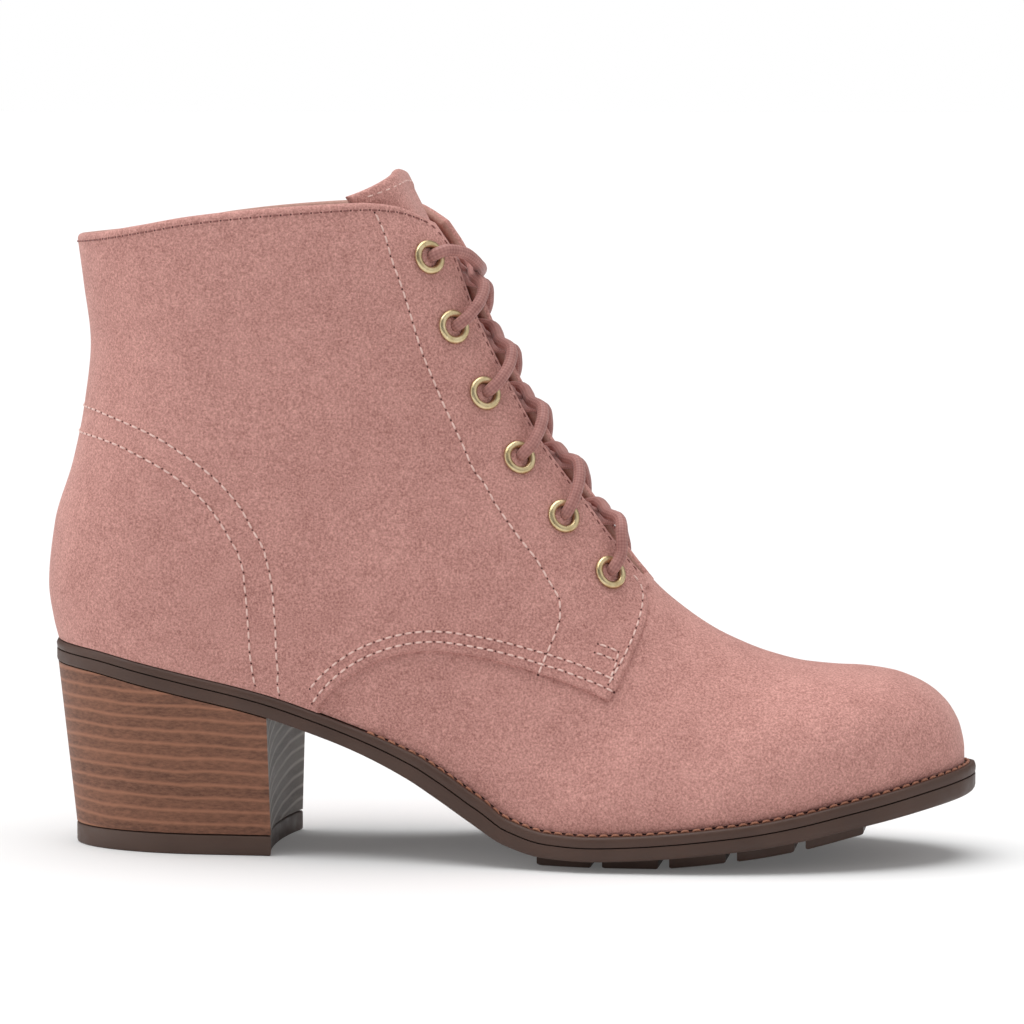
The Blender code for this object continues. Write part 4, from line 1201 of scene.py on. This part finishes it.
def edge_rows():
    """The small dark stitches along the collar and down both edges of the throat."""
    rows = []
    for side in (-1, 1):
        start = throat_u(0.0, side) + 0.030
        u = np.linspace(start, 1, 240)
        share = bent(u)
        lap = collar_lap(share) + COLLAR_ROW_IN / ((COLLAR_BACK - HEEL_SEAT) * (0.61 + 0.39 * share))
        down = np.linspace(float(lap[0]) + 0.004, THROAT_LAP - 0.006, 160)
        across = steps_across(down, side * (throat_half(down) + THROAT_ROW_IN))[0]
        swing = np.clip((down - down[0]) / 0.05, 0, 1) ** 0.5
        across = across * swing + start * (1 - swing)
        laps = np.concatenate([lap[::-1], down])
        rows.append(seam_row(laps, np.concatenate([u[::-1], across]), side, EDGE_STITCH))
    return rows


def upper_rows():
    """The pale rows on the upper: facing, counter, front, quarter edge and tacks."""
    rows = []
    edge = [((share - 0.5) * LENGTH * 1000, height * COLLAR_FRONT * 1000) for share, height in QUARTER_EDGE]
    for side in (-1, 1):
        for row in (FACING_ROW, COUNTER_OUTER, COUNTER_INNER, FRONT_ROW):
            rows.append(side_row(row, side, STITCH))
        for distance in LOWER_ROWS:
            line = beside(edge[CORNER_ROW + 1:-1], -distance)
            line = line[line[:, 0] < LOWER_ROWS_END - 0.2 * distance]
            rows.append(side_row(line[::4], side, STITCH * 0.9))
        for tack in TACKS:
            rows.append(side_row(tack, side, STITCH * 0.8))
    return rows


def tongue_rows():
    """The row along the hem of the tongue's top."""
    at, y = tongue_place(TONGUE_LAP + TONGUE_ROW_IN, np.linspace(-0.9, 0.9, 80))
    return [resampled(STITCH, *lift_at(at, y, 0.0002 - WALL - TONGUE_SEAT - throat_sag(at, y)))]


def welt_rows():
    """The row of stitches on the welt, close to the upper, round the forefoot."""
    lateral, medial = sole_edges(lambda x: 0.38 * welt_margin(x), 400)
    medial = medial[::-1][1:]
    line = np.concatenate([edge[edge[:, 0] > WELT_ROW_BACK] for edge in (lateral, medial)])
    points = np.column_stack([line, welt_top(line[:, 0])])
    return [resampled(WELT_STITCH, points, np.tile([0.0, 0.0, 1.0], (len(points), 1)))]


def node(tree, kind, links=(), **settings):
    """A shader node with its settings, its inputs set from values or linked from sockets."""
    made = tree.nodes.new(kind)
    for key, value in settings.items():
        setattr(made, key, value)
    for key, value in dict(links).items():
        if isinstance(value, bpy.types.NodeSocket):
            tree.links.new(value, made.inputs[key])
        else:
            made.inputs[key].default_value = value
    return made


def maths(tree, kind, a, b=0.5):
    """One step of arithmetic on two values."""
    return node(tree, "ShaderNodeMath", {0: a, 1: b}, operation=kind).outputs[0]


def weighted(tree, *terms):
    """The sum of values, each times its weight."""
    total = maths(tree, "MULTIPLY", *terms[0])
    for value, weight in terms[1:]:
        total = maths(tree, "ADD", total, maths(tree, "MULTIPLY", value, weight))
    return total


def spread(tree, value, low, high, to_low=0.0, to_high=1.0):
    """A value stretched from one range to another and held at its ends."""
    ranges = {"Value": value, "From Min": low, "From Max": high, "To Min": to_low, "To Max": to_high}
    return node(tree, "ShaderNodeMapRange", ranges).outputs[0]


def object_place(tree):
    """Where a point lies on its object."""
    return node(tree, "ShaderNodeTexCoord").outputs["Object"]


def noise(tree, where, scale, detail, rough, stretch=None):
    """Smooth noise, drawn out where stretch is below 1."""
    if stretch:
        where = node(tree, "ShaderNodeVectorMath", {0: where, 1: stretch}, operation="MULTIPLY").outputs[0]
    sockets = {"Vector": where, "Scale": scale, "Detail": detail, "Roughness": rough}
    return node(tree, "ShaderNodeTexNoise", sockets).outputs["Fac"]


def speckle(tree, where, scale, detail, rough, half=0.20, low=0.0, high=1.0, stretch=None):
    """Noise with its middle range spread from low to high."""
    return spread(tree, noise(tree, where, scale, detail, rough, stretch), 0.5 - half, 0.5 + half, low, high)


def mixed(tree, factor, a, b):
    """Two colours mixed by a factor."""
    links = {0: factor, 6: a, 7: b}
    return node(tree, "ShaderNodeMix", links, data_type="RGBA").outputs[2]


def bumped(tree, height, strength, distance):
    """The normal of a surface with small heights on it."""
    sockets = {"Height": height, "Strength": strength, "Distance": distance}
    return node(tree, "ShaderNodeBump", sockets).outputs[0]


def nap_group():
    """Colour and normal of napped leather: clouds, mottling and a fine pile."""
    made = bpy.data.node_groups.new("nap", "ShaderNodeTree")
    sockets = (("Color", "Light", "INPUT"), ("Color", "Dark", "INPUT"), ("Float", "Depth", "INPUT"),
               ("Color", "Colour", "OUTPUT"), ("Vector", "Normal", "OUTPUT"))
    for kind, title, way in sockets:
        made.interface.new_socket(title, in_out=way, socket_type="NodeSocket" + kind)
    inside = node(made, "NodeGroupInput").outputs
    where = object_place(made)
    clouds = speckle(made, where, 22, 3, 0.5, 0.18)
    mottle = speckle(made, where, 130, 4, 0.62)
    pile = speckle(made, where, 1700, 3, 0.75)
    share = weighted(made, (clouds, 0.11), (mottle, 0.15), (pile, 0.74))
    height = weighted(made, (pile, 0.7), (mottle, 0.9))
    normal = bumped(made, height, maths(made, "MULTIPLY", inside["Depth"], 0.55), 0.00022)
    colours = mixed(made, share, inside["Dark"], inside["Light"])
    node(made, "NodeGroupOutput", {"Colour": colours, "Normal": normal})
    return made


def screen(colour):
    """A colour with its alpha, from its screen values out of 255."""
    values = np.array(colour) / 255
    light = np.where(values > 0.04045, ((values + 0.055) / 1.055) ** 2.4, values / 12.92)
    return (*(float(v) for v in light), 1.0)


def finish(name, colour, **settings):
    """A material with its node tree and shader, the shader's inputs set by name."""
    made = bpy.data.materials.new(name)
    made.use_nodes = True
    shader = made.node_tree.nodes["Principled BSDF"]
    shader.inputs["Base Color"].default_value = colour
    for key, value in settings.items():
        shader.inputs[key.replace("_", " ")].default_value = value
    return made, made.node_tree, shader


def plug(tree, shader, **sockets):
    """Links sockets into a shader's inputs by name."""
    for key, value in sockets.items():
        tree.links.new(value, shader.inputs[key.replace("_", " ")])


def napped(name, light, dark, depth):
    """Suede or soft lining: the shared nap with a faint pale sheen."""
    made, tree, shader = finish(name, screen(light), Roughness=0.92, Sheen_Weight=0.30, Sheen_Roughness=0.45,
                                Specular_IOR_Level=0.18, Sheen_Tint=screen((255, 225, 218)))
    sockets = {"Light": screen(light), "Dark": screen(dark), "Depth": depth}
    nap = node(tree, "ShaderNodeGroup", {}, node_tree=NAP)
    for key, value in sockets.items():
        nap.inputs[key].default_value = value
    plug(tree, shader, Base_Color=nap.outputs["Colour"], Normal=nap.outputs["Normal"])
    return made


def rubber(name, colour, worn):
    """Moulded or trimmed rubber: faint mottling, fine scuffs and a soft gloss."""
    made, tree, shader = finish(name, screen(colour), Roughness=0.5, Specular_IOR_Level=0.35)
    where = object_place(tree)
    colours = mixed(tree, speckle(tree, where, 60, 4, 0.6), screen(colour), screen(worn))
    gloss = speckle(tree, where, 240, 3, 0.6, low=0.42, high=0.62)
    normal = bumped(tree, noise(tree, where, 900, 3, 0.6), 0.25, 0.0001)
    plug(tree, shader, Base_Color=colours, Roughness=gloss, Normal=normal)
    return made


def stacked(name, colour, pale, dark, rise=0.0, strength=0.62):
    """A heel of thin leather layers: soft pale lines between them and a fine grain along them.

    rise lifts the lines across the breast, steeply at first and then more gently.
    """
    made, tree, shader = finish(name, screen(colour), Roughness=0.55, Specular_IOR_Level=0.3)
    where = object_place(tree)
    parts = node(tree, "ShaderNodeSeparateXYZ", {0: where}).outputs
    terms = [(parts["Z"], 1.0), (noise(tree, where, 45, 2, 0.5), 0.0020), (parts["X"], 0.03)]
    if rise:
        terms.append((maths(tree, "POWER", spread(tree, parts["Y"], -0.026, 0.026), 0.55), -rise))
    level = maths(tree, "MULTIPLY", weighted(tree, *terms), 1 / LIFT_PITCH)
    away = maths(tree, "ABSOLUTE", maths(tree, "SUBTRACT", maths(tree, "FRACT", level), 0.5))
    line = spread(tree, away, 0.30, 0.48)
    number = maths(tree, "FLOOR", level)
    layer = node(tree, "ShaderNodeTexWhiteNoise", {"W": number}, noise_dimensions="1D").outputs["Value"]
    grain = speckle(tree, where, 800, 4, 0.75, 0.16, stretch=(0.55, 0.55, 1.8))
    patch = spread(tree, noise(tree, where, 110, 3, 0.6, (0.35, 0.35, 2.2)), 0.35, 0.72)
    base = mixed(tree, maths(tree, "MULTIPLY", grain, 0.85), screen(dark), screen(colour))
    for value, share in ((patch, 0.20), (layer, 0.15), (line, strength)):
        base = mixed(tree, maths(tree, "MULTIPLY", value, share), base, screen(pale))
    normal = bumped(tree, weighted(tree, (grain, 0.35), (line, -1.0)), 0.30, 0.00015)
    plug(tree, shader, Base_Color=base, Normal=normal)
    return made


def corded(name, light, dark):
    """A waxed cord. Where the piece has the cord's UVs, two waves that cross make a fine braid."""
    made, tree, shader = finish(name, screen(light), Roughness=0.55, Sheen_Weight=0.15,
                                Specular_IOR_Level=0.35)
    uv = node(tree, "ShaderNodeUVMap", {}, uv_map="cord").outputs[0]
    parts = node(tree, "ShaderNodeSeparateXYZ", {0: uv}).outputs
    around = maths(tree, "MULTIPLY", parts["X"], 12 * np.pi)
    run = maths(tree, "MULTIPLY", parts["Y"], 2 * np.pi / BRAID_PITCH)
    one = maths(tree, "SINE", maths(tree, "ADD", run, around), 0)
    two = maths(tree, "SINE", maths(tree, "SUBTRACT", run, around), 0)
    braid = spread(tree, maths(tree, "MULTIPLY", one, two), -1, 1)
    cloud = speckle(tree, object_place(tree), 260, 3, 0.6)
    colours = mixed(tree, weighted(tree, (braid, 0.55), (cloud, 0.45)), screen(dark), screen(light))
    plug(tree, shader, Base_Color=colours, Normal=bumped(tree, braid, 0.5, 0.00016))
    return made


def brass(name, light, dark):
    """Pale brass, slightly clouded and unevenly polished."""
    made, tree, shader = finish(name, screen(light), Roughness=0.32, Metallic=1.0)
    where = object_place(tree)
    cloud = speckle(tree, where, 420, 4, 0.6)
    gloss = speckle(tree, where, 900, 3, 0.6, low=0.24, high=0.42)
    colours = mixed(tree, cloud, screen(dark), screen(light))
    plug(tree, shader, Base_Color=colours, Roughness=gloss, Normal=bumped(tree, cloud, 0.15, 0.0001))
    return made


def studio():
    """Pale floor, an even white surround, broad suns and the photograph's camera."""
    scene = bpy.context.scene
    scene.view_settings.view_transform = "Standard"
    scene.world = bpy.data.worlds.new("studio")
    scene.world.use_nodes = True
    tree = scene.world.node_tree
    sky = tree.nodes["Background"]
    sky.inputs["Color"].default_value = (1, 1, 1, 1)
    seen = node(tree, "ShaderNodeLightPath").outputs["Is Camera Ray"]
    tree.links.new(spread(tree, seen, 0.0, 1.0, SURROUND, 1.0), sky.inputs["Strength"])
    mesh = bpy.data.meshes.new("floor")
    corners = [(x, y, 0.0) for y in (-FLOOR_HALF, FLOOR_HALF) for x in (-FLOOR_HALF, FLOOR_HALF)]
    mesh.from_pydata(corners, [], [[0, 1, 3, 2]])
    floor = bpy.data.objects.new("floor", mesh)
    scene.collection.objects.link(floor)
    mesh.materials.append(finish("pale_floor", (0.76, 0.76, 0.76, 1), Roughness=0.8, Specular_IOR_Level=0.0,
                                 Emission_Color=(1, 1, 1, 1), Emission_Strength=FLOOR_GLOW)[0])
    for name, toward, angle, strength in SUNS:
        light = bpy.data.lights.new(name, "SUN")
        light.angle = np.radians(angle)
        light.energy = strength
        lamp = bpy.data.objects.new(name, light)
        lamp.rotation_euler = Vector(toward).to_track_quat("Z", "Y").to_euler()
        scene.collection.objects.link(lamp)
    camera = bpy.data.cameras.new("camera")
    camera.lens = CAMERA_LENS
    camera.sensor_width = 36.0
    eye = bpy.data.objects.new("camera", camera)
    turned, raised = np.radians(CAMERA_AZIMUTH), np.radians(CAMERA_RAISE)
    away = Vector((np.sin(turned) * np.cos(raised), -np.cos(turned) * np.cos(raised), np.sin(raised)))
    eye.location = Vector(CAMERA_AIM) + away * CAMERA_DISTANCE
    eye.rotation_euler = (-away).to_track_quat("-Z", "Y").to_euler()
    scene.collection.objects.link(eye)
    scene.camera = eye


studio()
NAP = nap_group()
SUEDE = napped("rose_suede", (234, 178, 168), (138, 86, 79), 1.0)
LINING = napped("lining", (200, 160, 148), (168, 126, 114), 0.5)
SOLE = rubber("sole_rubber_dressed", (70, 51, 43), (82, 61, 52))
WELT = rubber("welt_rubber", (72, 52, 44), (84, 62, 53))
LIFT = rubber("top_piece_rubber", (76, 57, 49), (86, 66, 57))
WOOD = stacked("stacked_leather", (138, 94, 73), (174, 119, 92), (80, 50, 38))
FRONT = stacked("heel_breast", (98, 84, 76), (196, 188, 180), (72, 59, 52), 0.012, 0.6)
FOOTBED = napped("footbed", (205, 170, 150), (180, 145, 126), 0.4)
LACE = corded("lace_braid", (192, 138, 130), (136, 86, 80))
BRASS = brass("antique_brass", (226, 208, 168), (190, 168, 124))
THREAD = corded("pale_thread", (246, 216, 206), (216, 174, 164))
COPPER = corded("welt_thread", (186, 124, 96), (126, 80, 60))
DARK_THREAD = corded("dark_thread", (152, 100, 93), (122, 72, 66))
# Painted shade: a dark colour that stands for the shade inside the needle holes and the eyelets' tubes
HOLE_SHADE = finish("needle_hole", screen((78, 40, 36)), Roughness=0.9)[0]

places = eyelet_places()
route = resampled(0.0006, spline(lace_route(places), 10))[0]
for side in (-1, 1):
    quarter(side, [SUEDE, LINING])
vamp([SUEDE, LINING])
tongue(route, [SUEDE, LINING])
lace(route, LACE)
eyelets(places, [BRASS, HOLE_SHADE])
outsole(SOLE)
tread(SOLE)
welt(WELT)
insole(FOOTBED)
heel_stack([WOOD, FRONT])
top_piece(LIFT)
SEAMS = [
    # name, rows, thread radius, gap at a needle hole, thread
    ("edge_stitches", edge_rows(), 0.00026, 0.0010, DARK_THREAD),
    ("upper_stitches", upper_rows(), 0.00028, 0.0009, THREAD),
    ("tongue_stitches", tongue_rows(), 0.00024, 0.0007, THREAD),
    ("welt_stitches", welt_rows(), 0.00045, 0.0005, COPPER),
]
for seam in SEAMS:
    stitches(*seam)
